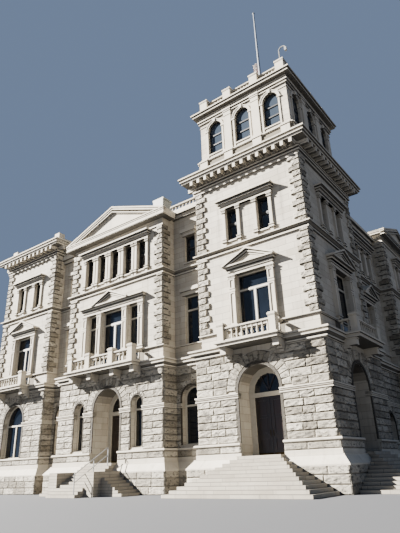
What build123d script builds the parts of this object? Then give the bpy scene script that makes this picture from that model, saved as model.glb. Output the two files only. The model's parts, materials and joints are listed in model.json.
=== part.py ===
from build123d import *
from collections import namedtuple
import math
import os

# Courthouse of pale granite: a corner tower, a front with three pavilions and two recesses, two sides that
# step back between their pavilions, and a plain back. All sizes in millimetres, ground level at Z 0, the
# front facing -Y with the tower at its right end. The origin is the middle of the ground plan's box.

# Plan along the front, from the tower leftwards, and along the sides, from the front backwards
TOWER = 7850
RECESS = 2950
CENTRE = 9600
LEFT = 7000
MIDDLE = 7500
REAR = 8150
CENTRE_FORWARD = 300

# Walls: a recessed wall stands one wall behind its pavilions and laps their backs
WALL = 1000
LAP = 50
GROUND_OUT = 250

# Storeys
GROUND_FLOOR = 1830
GROUND_TOP = 7600
SECOND_FLOOR = 7900
THIRD_FLOOR = 13700
ROOF_DECK = 18350
FLOOR_DEEP = 350
PAVILION_TOP = 19500
RECESS_TOP = 18360
CENTRE_TOP = 18230
REAR_TOP = 18900

# Base: rock-faced courses, a battered plinth, one more course and a moulding
BASE_OUT = 850
COURSES_TOP = 1280
BATTER_FOOT = 700
BATTER_HEAD = 450
BATTER_TOP = 1990
UPPER_COURSE_OUT = 420
MOULD_FOOT = 2350
MOULD_OUT = 500
BASE_TOP = 2500

# Bands and cornices
IMPOST_FOOT = 4850
IMPOST_TOP = 5100
IMPOST_OUT = 80
IMPOST_STEP = 100
CORNICE_FOOT = 7320
CORNICE_LIP = 7620
CORNICE_TOP = 7910
CORNICE_OUT = 500
CORNICE_BED = 60
CORNICE_FASCIA = 40
CORNICE_CROWN = 70
LEDGE_FOOT = 8750
LEDGE_TOP = 8870
LEDGE_OUT = 90
STRING_FOOT = 14110
STRING_TOP = 14260
STRING_OUT = 200
STRING_LIP = 60
EAVES_OUT = 850
EAVES_TOP = 20250
LOW_EAVES_OUT = 450
LOW_EAVES_TOP = 18880
FRIEZE_DEEP = 160
FRIEZE_OUT = 90
FRIEZE_FOOT = {"door": 19000, "pavilion": 19000, "centre": 17640, "rear": 18480}
SOFFIT_RISE = 300
CROWN_DEEP = 170
MODILLION_WIDE = 260
MODILLION_DEEP = 180
MODILLION_STEP = 600
MODILLION_INSET = 120

# Openings
ARCH_SIDES = 8
DOOR_WIDE = 2600
GROUND_BAR = 4920
SILL_RISE = 150
SECOND_WIDE = 2300
SECOND_SILL = LEDGE_TOP
SECOND_HEAD = 12250
SECOND_BAR = 11180
THIRD_WIDE = 900
THIRD_STEP = 1170
THIRD_SILL = 14700
THIRD_HEAD = 17000
THIRD_BAR = 15850
LOW_HEAD = 16750
LOW_BAR = 15750
RECESS_GROUND_WIDE = 1500
RECESS_GROUND_TOP = 6150
RECESS_SECOND_WIDE = 1150
CENTRE_GROUND_WIDE = 1000
CENTRE_GROUND_STEP = 2800
CENTRE_GROUND_TOP = 5850
CENTRE_SIDE_WIDE = 1150
CENTRE_SIDE_STEP = 2125
CENTRE_MIDDLE_WIDE = 2200
CENTRE_THIRD_STEP = 1400
MIDDLE_WIDE = 1700
MIDDLE_GROUND_TOP = 4400
MIDDLE_THIRD_STEP = 1300
LONG_STEP = 3300
SPRING = 5250
REVEAL = 420
FRAME_WIDE = 130
BELFRY_FRAME = 60
GROUND_FRAME_WIDE = 350
FRAME_DEEP = 140
BAR_DEEP = 70
GLASS_THICK = 24
BAR_WIDE = 110
TRANSOM_DEEP = 240

# Doors
DOOR_INSET = 50
LEAF_THICK = 70
LEAF_GAP = 5
LEAF_MEETING = 10
LEAF_RISE = 10
LEAF_INSET = 20
PANEL_DEEP = 18
STILE = 150
LOCK_RAIL = 900
HINGE_TALL = 150
FINE_GAP = 0.3

# Steps
RISERS = 11
TREAD = 280
CHEEK_WIDE = 750
CHEEK_LONG = 2100
CHEEK_TOP = 1350
SIDE_RISERS = 6
SIDE_DEEP = 1500
HANDRAIL_THICK = 45
HANDRAIL_RISE = 950
HANDRAIL_LOW = 500
HANDRAIL_INSET = 220

# Balconies
BALCONY_OUT = 1300
BALCONY_FOOT = 7630
BALCONY_SLAB = 270
BALCONY_WIDE = 3900
CENTRE_BALCONY_WIDE = 6500
BRACKET_WIDE = 360
BRACKET_DEEP = 400
BRACKET_OUT = 1050
PIER = 400
PIER_INSET = 50
CENTRE_PIER_SHARE = 2.6
RAIL_TOP = 8750
PIER_TOP = 9030
RAIL_DEEP = 130
RAIL_WIDE = 260
BALUSTER_FOOT = 170
BALUSTER_NECK = 90
BALUSTER_STEP = 300
CAP_DEEP = 150
CAP_OUT = 50

# Window surrounds
PILASTER = 400
PILASTER_OUT = 180
SMALL_PILASTER = 200
SMALL_PILASTER_OUT = 120
ENTABLATURE = 350
ENTABLATURE_OUT = 320
PEDIMENT_RISE = 950
HOOD = 500
HOOD_OUT = 300
HOOD_LIP = 80
HOOD_SIDE = 150
SURROUND_LIP = 150
SURROUND_CORNICE = 120

# Tower top
BELFRY_INSET = 350
BELFRY_FOOT = 21700
PLINTH_FOOT_TALL = 350
PLINTH_FOOT_OUT = 250
PLINTH_BODY_OUT = 120
PLINTH_CAP_TALL = 150
PLINTH_CAP_OUT = 180
BELFRY_WALL = 600
BELFRY_TOP = 25400
BELFRY_PIER = 650
BELFRY_PIER_OUT = 120
BELFRY_PILASTER = 600
BELFRY_STEP = 2300
BELFRY_WINDOW = 1180
BELFRY_SILL = 22150
BELFRY_CROWN = 24850
BELFRY_EAVES_OUT = 450
BELFRY_EAVES_TOP = 25970
PARAPET_TOP = 27070
PEDESTAL_TOP = 27350
PEDESTAL = 620

# Roofs and parapets
RAKE = 0.358
PEDIMENT_OUT = 530
PEDIMENT_CORNICE = 540
TYMPANUM_SUNK = 470
ROOF_STEP = 60
ROOF_BACK = 6000
ATTIC_WALL = 500
ROOF_PARAPET_TOP = 21300
LOW_PARAPET_TOP = 20900
ROOF_BLOCK = 1000
ROOF_BLOCK_PLACE = 3200
ROOF_BLOCK_TOP = 21000
RECESS_RAIL_TOP = 19450
GIRDER_WIDE = 700
GIRDER_DEEP = 700

# Flagpole, flag and corner lamp
POLE_TOP = 37700
POLE_FOOT_RADIUS = 130
POLE_HEAD_RADIUS = 60
BALL_RADIUS = 110
FLAG_TOP = 32000
FLAG_DROP = 2300
FLAG_WIDE = 520
FLAG_THICK = 160
LAMP_RISE = 1250
LAMP_REACH = 520
LAMP_RADIUS = 40
LAMP_HEAD = (160, 160, 260)
POLE_SIDES = 12
LAMP_SIDES = 6

# Plan places worked out from the driving sizes
FRONT_LENGTH = TOWER + 2 * RECESS + CENTRE + LEFT
SIDE_LENGTH = TOWER + MIDDLE + REAR
SET_BACK = WALL - LAP
FLIGHT_RUN = (RISERS - 1) * TREAD
RISE = GROUND_FLOOR / RISERS
RIGHT = (FRONT_LENGTH - FLIGHT_RUN) / 2
LEFT_FACE = RIGHT - FRONT_LENGTH
FRONT = -(SIDE_LENGTH - CENTRE_FORWARD - FLIGHT_RUN) / 2
BACK = FRONT + SIDE_LENGTH
TOWER_X = RIGHT - TOWER / 2
TOWER_Y = FRONT + TOWER / 2

Section = namedtuple("Section", "name face left right grow_left grow_right thick kind top")
Opening = namedtuple("Opening", "u width sill top arched transom mullion storey")


def facing(x, y, side):
    """Plane on a wall face at ground level: X runs to the right as seen from outside, Z points outwards."""
    turns = {"front": (1, 0), "right": (0, 1), "back": (-1, 0), "left": (0, -1)}
    along = turns[side]
    outward = (along[1], -along[0])
    return Plane(origin=(x, y, 0), x_dir=(along[0], along[1], 0), z_dir=(outward[0], outward[1], 0))


def make_sections():
    """Straight lengths of wall round the building, each with its bay pattern."""
    half = TOWER / 2
    back_middle = (FRONT_LENGTH - 2 * TOWER) / 2
    recess_y = FRONT + SET_BACK
    centre_y = FRONT - CENTRE_FORWARD
    recess_x = RIGHT - TOWER - RECESS / 2
    centre_x = recess_x - (RECESS + CENTRE) / 2
    far_recess_x = centre_x - (RECESS + CENTRE) / 2
    left_x = LEFT_FACE + LEFT / 2
    middle_y = FRONT + TOWER + MIDDLE / 2
    rear_y = BACK - REAR / 2
    out, none = GROUND_OUT, 0
    front, right, back, left = "front", "right", "back", "left"
    rows = [
        ("tower", facing(TOWER_X, FRONT, front), half, half, out, out, WALL, "door", PAVILION_TOP),
        ("near_recess", facing(recess_x, recess_y, front), RECESS / 2, RECESS / 2, -out, -out, WALL,
         "recess", RECESS_TOP),
        ("centre", facing(centre_x, centre_y, front), CENTRE / 2, CENTRE / 2, out, out,
         WALL + CENTRE_FORWARD, "centre", CENTRE_TOP),
        ("far_recess", facing(far_recess_x, recess_y, front), RECESS / 2, RECESS / 2, -out, -out, WALL,
         "recess", RECESS_TOP),
        ("left", facing(left_x, FRONT, front), LEFT / 2, LEFT / 2, out, out, WALL, "pavilion", PAVILION_TOP),
        ("tower_side", facing(RIGHT, TOWER_Y, right), half - WALL, half, none, out, WALL, "door",
         PAVILION_TOP),
        ("right_middle", facing(RIGHT - SET_BACK, middle_y, right), MIDDLE / 2, MIDDLE / 2, -out, -out, WALL,
         "middle", RECESS_TOP),
        ("right_rear", facing(RIGHT, rear_y, right), REAR / 2, REAR / 2 - WALL, out, none, WALL, "rear",
         REAR_TOP),
        ("back_right", facing(TOWER_X, BACK, back), half, half, out, out, WALL, "rear", REAR_TOP),
        ("back_middle", facing(RIGHT - FRONT_LENGTH / 2, BACK - SET_BACK, back), back_middle, back_middle,
         -out, -out, WALL, "long", RECESS_TOP),
        ("back_left", facing(LEFT_FACE + half, BACK, back), half, half, out, out, WALL, "rear", REAR_TOP),
        ("left_rear", facing(LEFT_FACE, rear_y, left), REAR / 2 - WALL, REAR / 2, none, out, WALL, "rear",
         REAR_TOP),
        ("left_middle", facing(LEFT_FACE + SET_BACK, middle_y, left), MIDDLE / 2, MIDDLE / 2, -out, -out,
         WALL, "middle", RECESS_TOP),
        ("left_side", facing(LEFT_FACE, TOWER_Y, left), half, half - WALL, out, none, WALL, "pavilion",
         PAVILION_TOP),
    ]
    return {row[0]: Section(*row) for row in rows}


def make_openings():
    """Windows and doorways of each bay pattern, with heights above the ground."""
    arch = SPRING + DOOR_WIDE / 2
    low_sill = BASE_TOP + SILL_RISE
    door = [Opening(0, DOOR_WIDE, GROUND_FLOOR, arch, True, GROUND_BAR, False, "door")]
    ground = [Opening(0, DOOR_WIDE, BASE_TOP, arch, True, GROUND_BAR, True, "ground")]
    second = [Opening(0, SECOND_WIDE, SECOND_SILL, SECOND_HEAD, False, SECOND_BAR, True, "second")]
    third = [Opening(u, THIRD_WIDE, THIRD_SILL, THIRD_HEAD, False, THIRD_BAR, False, "third")
             for u in (-THIRD_STEP, THIRD_STEP)]
    recess = [
        Opening(0, RECESS_GROUND_WIDE, low_sill, RECESS_GROUND_TOP, True, GROUND_BAR, False, "ground"),
        Opening(0, RECESS_SECOND_WIDE, SECOND_SILL, SECOND_HEAD, False, SECOND_BAR, False, "second"),
        Opening(0, THIRD_WIDE, THIRD_SILL, LOW_HEAD, False, LOW_BAR, False, "third"),
    ]
    centre = [Opening(side * CENTRE_GROUND_STEP, CENTRE_GROUND_WIDE, low_sill, CENTRE_GROUND_TOP, True,
                      GROUND_BAR, False, "ground") for side in (-1, 1)]
    centre += [Opening(side * CENTRE_SIDE_STEP, CENTRE_SIDE_WIDE, SECOND_SILL, SECOND_HEAD, False,
                       SECOND_BAR, False, "second") for side in (-1, 1)]
    centre += [Opening(0, CENTRE_MIDDLE_WIDE, SECOND_SILL, SECOND_HEAD, False, SECOND_BAR, True, "second")]
    centre += [Opening(CENTRE_THIRD_STEP * k, THIRD_WIDE, THIRD_SILL, THIRD_HEAD, False, THIRD_BAR, False,
                       "third") for k in (-2, -1, 0, 1, 2)]
    middle = [Opening(0, MIDDLE_WIDE, low_sill, MIDDLE_GROUND_TOP, True, 0, False, "ground")]
    middle += [Opening(0, MIDDLE_WIDE, SECOND_SILL, SECOND_HEAD, False, SECOND_BAR, True, "second")]
    middle += [Opening(MIDDLE_THIRD_STEP * k, THIRD_WIDE, THIRD_SILL, LOW_HEAD, False, LOW_BAR, False,
                       "third") for k in (-1.5, -0.5, 0.5, 1.5)]
    shifted = [one._replace(u=LONG_STEP * k) for k in (-1.5, -0.5, 0.5, 1.5) for one in recess]
    return {
        "door": door + second + third,
        "pavilion": ground + second + third,
        "rear": ground + second + third,
        "recess": recess,
        "centre": door + centre,
        "middle": middle,
        "long": shifted,
    }


SECTIONS = make_sections()
OPENINGS = make_openings()
DOORWAYS = ("tower", "centre", "tower_side")
PAVILIONS_ACROSS = ("tower", "centre", "left", "back_right", "back_left")
PAVILIONS_ALONG = ("tower_side", "right_rear", "left_rear", "left_side")
RECESSED = ("near_recess", "far_recess", "right_middle", "left_middle", "back_middle")


def outline_points(opening, inset=0):
    """Corners of an opening, drawn in by an inset, with one straight side a voussoir along its arch."""
    half = opening.width / 2 - inset
    foot = opening.sill + inset
    if not opening.arched:
        head = opening.top - inset
        return [(-half, foot), (half, foot), (half, head), (-half, head)]
    spring = opening.top - opening.width / 2
    angles = [math.pi * k / ARCH_SIDES for k in range(ARCH_SIDES + 1)]
    arch = [(half * math.cos(a), spring + half * math.sin(a)) for a in angles]
    return [(-half, foot), (half, foot)] + arch


def polygon(points, mode=Mode.ADD):
    """Add a flat polygon to the sketch in hand."""
    with BuildLine() as edge:
        Polyline(*points, close=True)
    make_face(edge.edges(), mode=mode)


def plate(face, outlines, near, far, mode=Mode.ADD):
    """Extrude polygons drawn on a wall face between two distances outwards from that face."""
    with BuildSketch(face.offset(near)) as sketch:
        for points in outlines:
            polygon(points)
    return extrude(sketch.sketch, amount=far - near, mode=mode)


def box_points(u, z):
    """Corners of a rectangle on a wall face, from ranges along it and up it."""
    return [(u[0], z[0]), (u[1], z[0]), (u[1], z[1]), (u[0], z[1])]


def face_block(face, u, z, out, mode=Mode.ADD):
    """Add a block on a wall face, from ranges along it, up it and outwards from it."""
    return plate(face, [box_points(u, z)], out[0], out[1], mode)


def block(x, y, z, mode=Mode.ADD):
    """Add a block with its sides along the axes, from three ranges."""
    with Locations(((x[0] + x[1]) / 2, (y[0] + y[1]) / 2, (z[0] + z[1]) / 2)):
        Box(x[1] - x[0], y[1] - y[0], z[1] - z[0], mode=mode)


def shifted_points(opening, inset=0):
    """Outline of an opening at its own place along the wall."""
    return [(opening.u + u, z) for u, z in outline_points(opening, inset)]


def cut_openings(section, storeys, reach):
    """Cut a wall's openings of the named storeys right through it."""
    outlines = [shifted_points(opening) for opening in OPENINGS[section.kind] if opening.storey in storeys]
    if outlines:
        plate(section.face, outlines, -section.thick - reach, reach, Mode.SUBTRACT)


def ground_wall(section):
    """One length of ground-storey wall with its windows."""
    u = (-section.left - section.grow_left, section.right + section.grow_right)
    face_block(section.face, u, (0, GROUND_TOP), (-section.thick, GROUND_OUT))
    cut_openings(section, ("ground",), 2 * GROUND_OUT)


def upper_wall(section):
    """One length of second and third-storey wall with its windows."""
    face_block(section.face, (-section.left, section.right), (GROUND_TOP, section.top), (-section.thick, 0))
    cut_openings(section, ("second", "third"), GROUND_OUT)


def doorway_side(section, side):
    """Ground-storey wall on one side of a doorway, up to the arch's springing."""
    if side < 0:
        u = (-section.left - section.grow_left, -DOOR_WIDE / 2)
    else:
        u = (DOOR_WIDE / 2, section.right + section.grow_right)
    face_block(section.face, u, (0, SPRING), (-section.thick, GROUND_OUT))
    cut_openings(section, ("ground",), 2 * GROUND_OUT)


def doorway_arch(section):
    """Ground-storey wall over a doorway, with the arch cut out of it."""
    u = (-section.left - section.grow_left, section.right + section.grow_right)
    face_block(section.face, u, (SPRING, GROUND_TOP), (-section.thick, GROUND_OUT))
    cut_openings(section, ("ground", "door"), 2 * GROUND_OUT)


def plan_outline():
    """Corners of the upper wall's outer face, anticlockwise from the tower's front corner."""
    x0, x1, y0, y1 = LEFT_FACE, RIGHT, FRONT, BACK
    recess_y = FRONT + SET_BACK
    centre_y = FRONT - CENTRE_FORWARD
    near_side, far_side = FRONT + TOWER, BACK - REAR
    a = RIGHT - TOWER
    b = a - RECESS
    c = b - CENTRE
    d = c - RECESS
    back_y = BACK - SET_BACK
    return [
        (x1, y0), (x1, near_side), (x1 - SET_BACK, near_side), (x1 - SET_BACK, far_side), (x1, far_side),
        (x1, y1), (a, y1), (a, back_y), (x0 + TOWER, back_y), (x0 + TOWER, y1), (x0, y1),
        (x0, far_side), (x0 + SET_BACK, far_side), (x0 + SET_BACK, near_side), (x0, near_side), (x0, y0),
        (d, y0), (d, recess_y), (c, recess_y), (c, centre_y), (b, centre_y), (b, recess_y), (a, recess_y),
        (a, y0),
    ]


def grown(points, out):
    """Offset a right-angled plan outwards, drawn anticlockwise."""
    moved = []
    count = len(points)
    for k, (x, y) in enumerate(points):
        before, after = points[k - 1], points[(k + 1) % count]
        first = (math.copysign(1, y - before[1]) if y != before[1] else 0,
                 -math.copysign(1, x - before[0]) if x != before[0] else 0)
        second = (math.copysign(1, after[1] - y) if after[1] != y else 0,
                  -math.copysign(1, after[0] - x) if after[0] != x else 0)
        moved.append((x + out * (first[0] + second[0]), y + out * (first[1] + second[1])))
    return moved


def plan_face(points, height):
    """Flat face of a plan outline at a height."""
    with BuildSketch(Plane.XY.offset(height)) as sketch:
        polygon(points)
    return sketch.sketch.faces()[0]


def prism(points, low, high, mode=Mode.ADD):
    """Upright prism on a plan outline."""
    extrude(plan_face(points, low), amount=high - low, dir=(0, 0, 1), mode=mode)


def sloping_prism(points, low, wider, high):
    """Solid between two like outlines at two heights, with one flat face on each side."""
    foot = [Vector(x, y, low) for x, y in points]
    head = [Vector(x, y, high) for x, y in wider]
    faces = [Face(Wire.make_polygon(foot)), Face(Wire.make_polygon(head))]
    for k in range(len(foot)):
        faces.append(Face(Wire.make_polygon([foot[k - 1], foot[k], head[k], head[k - 1]])))
    return Solid(Shell(faces))


def moulded_prism(points, profile):
    """Solid whose plan grows and shrinks with height by a profile of (height, projection) pairs."""
    for (low, out), (high, next_out) in zip(profile, profile[1:]):
        if high == low:
            continue
        if out == next_out:
            prism(grown(points, out), low, high)
        else:
            add(sloping_prism(grown(points, out), low, grown(points, next_out), high))


def moulding(points, profile, wall_out):
    """Band of the given profile round a plan outline, open inside the wall's own face."""
    moulded_prism(points, profile)
    prism(grown(points, wall_out), profile[0][0], profile[-1][0], Mode.SUBTRACT)


def base_profile():
    """Heights and projections of the base, from the ground up."""
    return [(0, BASE_OUT), (COURSES_TOP, BASE_OUT), (COURSES_TOP, BATTER_FOOT), (BATTER_TOP, BATTER_HEAD),
            (BATTER_TOP, UPPER_COURSE_OUT), (MOULD_FOOT, UPPER_COURSE_OUT), (MOULD_FOOT, MOULD_OUT),
            (BASE_TOP, MOULD_OUT)]


def open_doorways(foot, head):
    """Cut the doorways out of the base or of a band."""
    for name in DOORWAYS:
        face_block(SECTIONS[name].face, (-DOOR_WIDE / 2, DOOR_WIDE / 2), (foot, head),
                   (-WALL, 2 * BASE_OUT), Mode.SUBTRACT)


def across(low, high, mode):
    """Block over the whole building between two depths, to part what runs round it."""
    block((LEFT_FACE - 2 * BASE_OUT, RIGHT + 2 * BASE_OUT), (low, high), (-1, BASE_TOP + 1), mode)


def square(x, y, size):
    """Corners of a square about a point, anticlockwise from its right front corner."""
    half = size / 2
    return [(x + half, y - half), (x + half, y + half), (x - half, y + half), (x - half, y - half)]


def rectangle(x0, x1, y0, y1):
    """Corners of a rectangle, anticlockwise from its right front corner."""
    return [(x1, y0), (x1, y1), (x0, y1), (x0, y0)]


def inner_plan():
    """Plan of the walls' inner faces, which the floors fill, anticlockwise from the tower's front corner."""
    x0, x1, y0, y1 = LEFT_FACE + WALL, RIGHT - WALL, FRONT + WALL, BACK - WALL
    near_side, far_side = FRONT + TOWER, BACK - REAR
    a = RIGHT - TOWER
    b = a - RECESS
    c = b - CENTRE
    d = c - RECESS
    rear = LEFT_FACE + TOWER
    return [
        (x1, y0), (x1, near_side), (x1 - SET_BACK, near_side), (x1 - SET_BACK, far_side), (x1, far_side),
        (x1, y1), (a, y1), (a, y1 - SET_BACK), (rear, y1 - SET_BACK), (rear, y1), (x0, y1), (x0, far_side),
        (x0 + SET_BACK, far_side), (x0 + SET_BACK, near_side), (x0, near_side), (x0, y0), (d, y0),
        (d, y0 + SET_BACK), (c, y0 + SET_BACK), (c, y0), (b, y0), (b, y0 + SET_BACK), (a, y0 + SET_BACK),
        (a, y0),
    ]


def finish(piece, name):
    """Label a finished piece and write its file."""
    piece.part.label = name
    export_step(piece.part, f"parts/{name}.step")


# Walls

def build_walls():
    """Every wall, grouped so that the lengths in one piece stand clear of each other."""
    with BuildPart() as ground_across:
        for name in PAVILIONS_ACROSS:
            if name not in DOORWAYS:
                ground_wall(SECTIONS[name])
    finish(ground_across, "ground_pavilion_front_walls")
    with BuildPart() as ground_along:
        for name in PAVILIONS_ALONG:
            if name not in DOORWAYS:
                ground_wall(SECTIONS[name])
    finish(ground_along, "ground_pavilion_side_walls")
    with BuildPart() as ground_recessed:
        for name in RECESSED:
            ground_wall(SECTIONS[name])
    finish(ground_recessed, "ground_recessed_walls")
    with BuildPart() as door_left:
        for name in DOORWAYS:
            doorway_side(SECTIONS[name], -1)
    finish(door_left, "entrance_walls_left")
    with BuildPart() as door_right:
        for name in DOORWAYS:
            doorway_side(SECTIONS[name], 1)
    finish(door_right, "entrance_walls_right")
    with BuildPart() as arches:
        for name in ("tower", "centre"):
            doorway_arch(SECTIONS[name])
    finish(arches, "front_entrance_arches")
    with BuildPart() as side_arch:
        doorway_arch(SECTIONS["tower_side"])
    finish(side_arch, "side_entrance_arch")
    with BuildPart() as upper_across:
        for name in PAVILIONS_ACROSS:
            upper_wall(SECTIONS[name])
    finish(upper_across, "upper_pavilion_front_walls")
    with BuildPart() as upper_along:
        for name in PAVILIONS_ALONG:
            upper_wall(SECTIONS[name])
    finish(upper_along, "upper_pavilion_side_walls")
    with BuildPart() as upper_recessed:
        for name in RECESSED:
            upper_wall(SECTIONS[name])
    finish(upper_recessed, "upper_recessed_walls")


# Base, bands and cornices

def build_base():
    """Base round the building, parted at the walls' corners and open at the doorways."""
    plan = plan_outline()
    with BuildPart() as ends:
        moulding(plan, base_profile(), GROUND_OUT)
        across(FRONT + WALL, BACK - WALL, Mode.SUBTRACT)
        open_doorways(0, BASE_TOP)
    finish(ends, "base_front_and_back")
    with BuildPart() as sides:
        moulding(plan, base_profile(), GROUND_OUT)
        across(FRONT - 3 * BASE_OUT, FRONT + WALL, Mode.SUBTRACT)
        across(BACK - WALL, BACK + 3 * BASE_OUT, Mode.SUBTRACT)
        open_doorways(0, BASE_TOP)
    finish(sides, "base_sides")


def balconies():
    """Sections that carry a balcony, with its width."""
    return {"tower": BALCONY_WIDE, "left": BALCONY_WIDE, "centre": CENTRE_BALCONY_WIDE,
            "tower_side": BALCONY_WIDE, "left_side": BALCONY_WIDE}


def band_gaps(section):
    """Solid that clears the bands from a wall's windows, with room for their pilasters."""
    outlines = []
    for opening in OPENINGS[section.kind]:
        if opening.storey != "third":
            side = PILASTER + LAP if opening.storey == "second" else 0
            reach = opening.width / 2 + side
            foot = opening.sill - 2 * (LEDGE_TOP - LEDGE_FOOT)
            outlines.append(box_points((opening.u - reach, opening.u + reach), (foot, opening.top)))
    return plate(section.face, outlines, -LAP, 3 * GROUND_OUT, Mode.PRIVATE)


def build_bands():
    """Impost band, main cornice, sill ledge and string course."""
    plan = plan_outline()
    with BuildPart() as cornice:
        lip = (CORNICE_FOOT + CORNICE_LIP) / 2
        bed = GROUND_OUT + CORNICE_BED
        profile = [(CORNICE_FOOT, bed), (lip, bed), (CORNICE_LIP, CORNICE_OUT),
                   (CORNICE_TOP - CORNICE_CROWN, CORNICE_OUT + CORNICE_FASCIA),
                   (CORNICE_TOP, CORNICE_OUT - CORNICE_BED)]
        moulded_prism(plan, profile)
        prism(grown(plan, GROUND_OUT), CORNICE_FOOT, GROUND_TOP, Mode.SUBTRACT)
        prism(plan, GROUND_TOP, CORNICE_TOP, Mode.SUBTRACT)
        for name, wide in balconies().items():
            face_block(SECTIONS[name].face, (-wide / 2, wide / 2), (CORNICE_FOOT - 1, CORNICE_TOP + 1),
                       (0, 2 * CORNICE_OUT), Mode.SUBTRACT)
    finish(cornice, "main_cornice")
    with BuildPart() as bands:
        step = IMPOST_FOOT + IMPOST_STEP
        low_out, high_out = GROUND_OUT + IMPOST_OUT / 2, GROUND_OUT + IMPOST_OUT
        impost = [(IMPOST_FOOT, low_out), (step, low_out), (step, high_out), (IMPOST_TOP, high_out)]
        moulding(plan, impost, GROUND_OUT)
        moulding(plan, [(LEDGE_FOOT, LEDGE_OUT), (LEDGE_TOP, LEDGE_OUT)], 0)
        lip = STRING_TOP - STRING_LIP
        moulding(plan, [(STRING_FOOT, STRING_OUT / 2), (lip, STRING_OUT), (STRING_TOP, STRING_OUT)], 0)
        add([band_gaps(section) for section in SECTIONS.values()], mode=Mode.SUBTRACT)
        for section in SECTIONS.values():
            if section.kind in FRIEZE_FOOT:
                foot = FRIEZE_FOOT[section.kind]
                u = (-section.left, section.right)
                if section.name in PAVILIONS_ACROSS:
                    u = (-section.left - FRIEZE_OUT, section.right + FRIEZE_OUT)
                face_block(section.face, u, (foot, foot + FRIEZE_DEEP), (0, FRIEZE_OUT))
    finish(bands, "string_courses")


# Floors and roof

def build_floors():
    """Floors and the roof deck, each filling the space between the walls."""
    plan = inner_plan()
    for name, top in (("ground_floor", GROUND_FLOOR), ("second_floor", SECOND_FLOOR),
                      ("third_floor", THIRD_FLOOR), ("roof_deck", ROOF_DECK)):
        with BuildPart() as floor:
            prism(plan, top - FLOOR_DEEP, top)
        finish(floor, name)


def build_tower_frame():
    """Pier under the tower's inner corner, a length in each storey, and the girders on it."""
    x, y = RIGHT - TOWER, FRONT + TOWER
    levels = [(0, GROUND_FLOOR - FLOOR_DEEP), (GROUND_FLOOR, SECOND_FLOOR - FLOOR_DEEP),
              (SECOND_FLOOR, THIRD_FLOOR - FLOOR_DEEP),
              (THIRD_FLOOR, ROOF_DECK - FLOOR_DEEP - GIRDER_DEEP)]
    with BuildPart() as piers:
        for low, high in levels:
            prism(square(x, y, GIRDER_WIDE), low, high)
    finish(piers, "tower_piers")
    half = GIRDER_WIDE / 2
    top = ROOF_DECK - FLOOR_DEEP
    with BuildPart() as girders:
        prism(rectangle(x - half, RIGHT - SET_BACK - WALL, y - half, y + half), top - GIRDER_DEEP, top)
        prism(rectangle(x - half, x + half, FRONT + SET_BACK + WALL, y - half), top - GIRDER_DEEP, top)
    finish(girders, "tower_girders")


def eaves_profile(foot, top, out):
    """Cornice under a roof: a stepped bed, a level soffit, a fascia and a sloping crown."""
    soffit = foot + min(SOFFIT_RISE, (top - foot) / 2)
    bed = (soffit - foot) / 2
    crown = top - min(CROWN_DEEP, (top - soffit) / 2)
    return [(foot, LAP), (foot + bed, LAP), (foot + bed, 2 * LAP), (soffit, 2 * LAP), (soffit, out - 2 * LAP),
            (crown, out - 2 * LAP), (crown, out - LAP), (top, out)]


def modillion_row(face, half, foot):
    """Blocks under a level soffit along one wall face, evenly spaced between its ends."""
    reach = half + EAVES_OUT - MODILLION_INSET - MODILLION_WIDE / 2 - 2 * LAP
    count = round(2 * reach / MODILLION_STEP)
    soffit = foot + SOFFIT_RISE
    outlines = []
    for k in range(1, count):
        u = -reach + 2 * reach * k / count
        outlines.append(box_points((u - MODILLION_WIDE / 2, u + MODILLION_WIDE / 2),
                                   (soffit - MODILLION_DEEP, soffit)))
    return plate(face, outlines, 2 * LAP, EAVES_OUT - MODILLION_INSET - 2 * LAP, Mode.PRIVATE)


def build_modillions():
    """Modillion blocks under the cornices of the tower and the left pavilion."""
    half = TOWER / 2
    left_x = LEFT_FACE + LEFT / 2
    rows = [(facing(TOWER_X, FRONT, "front"), half), (facing(RIGHT, TOWER_Y, "right"), half),
            (facing(TOWER_X, FRONT + TOWER, "back"), half), (facing(RIGHT - TOWER, TOWER_Y, "left"), half),
            (facing(left_x, FRONT, "front"), LEFT / 2), (facing(LEFT_FACE + LEFT, TOWER_Y, "right"), half),
            (facing(left_x, FRONT + TOWER, "back"), LEFT / 2), (facing(LEFT_FACE, TOWER_Y, "left"), half)]
    with BuildPart() as blocks:
        add([modillion_row(face, reach, PAVILION_TOP) for face, reach in rows])
    finish(blocks, "modillions")


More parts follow.
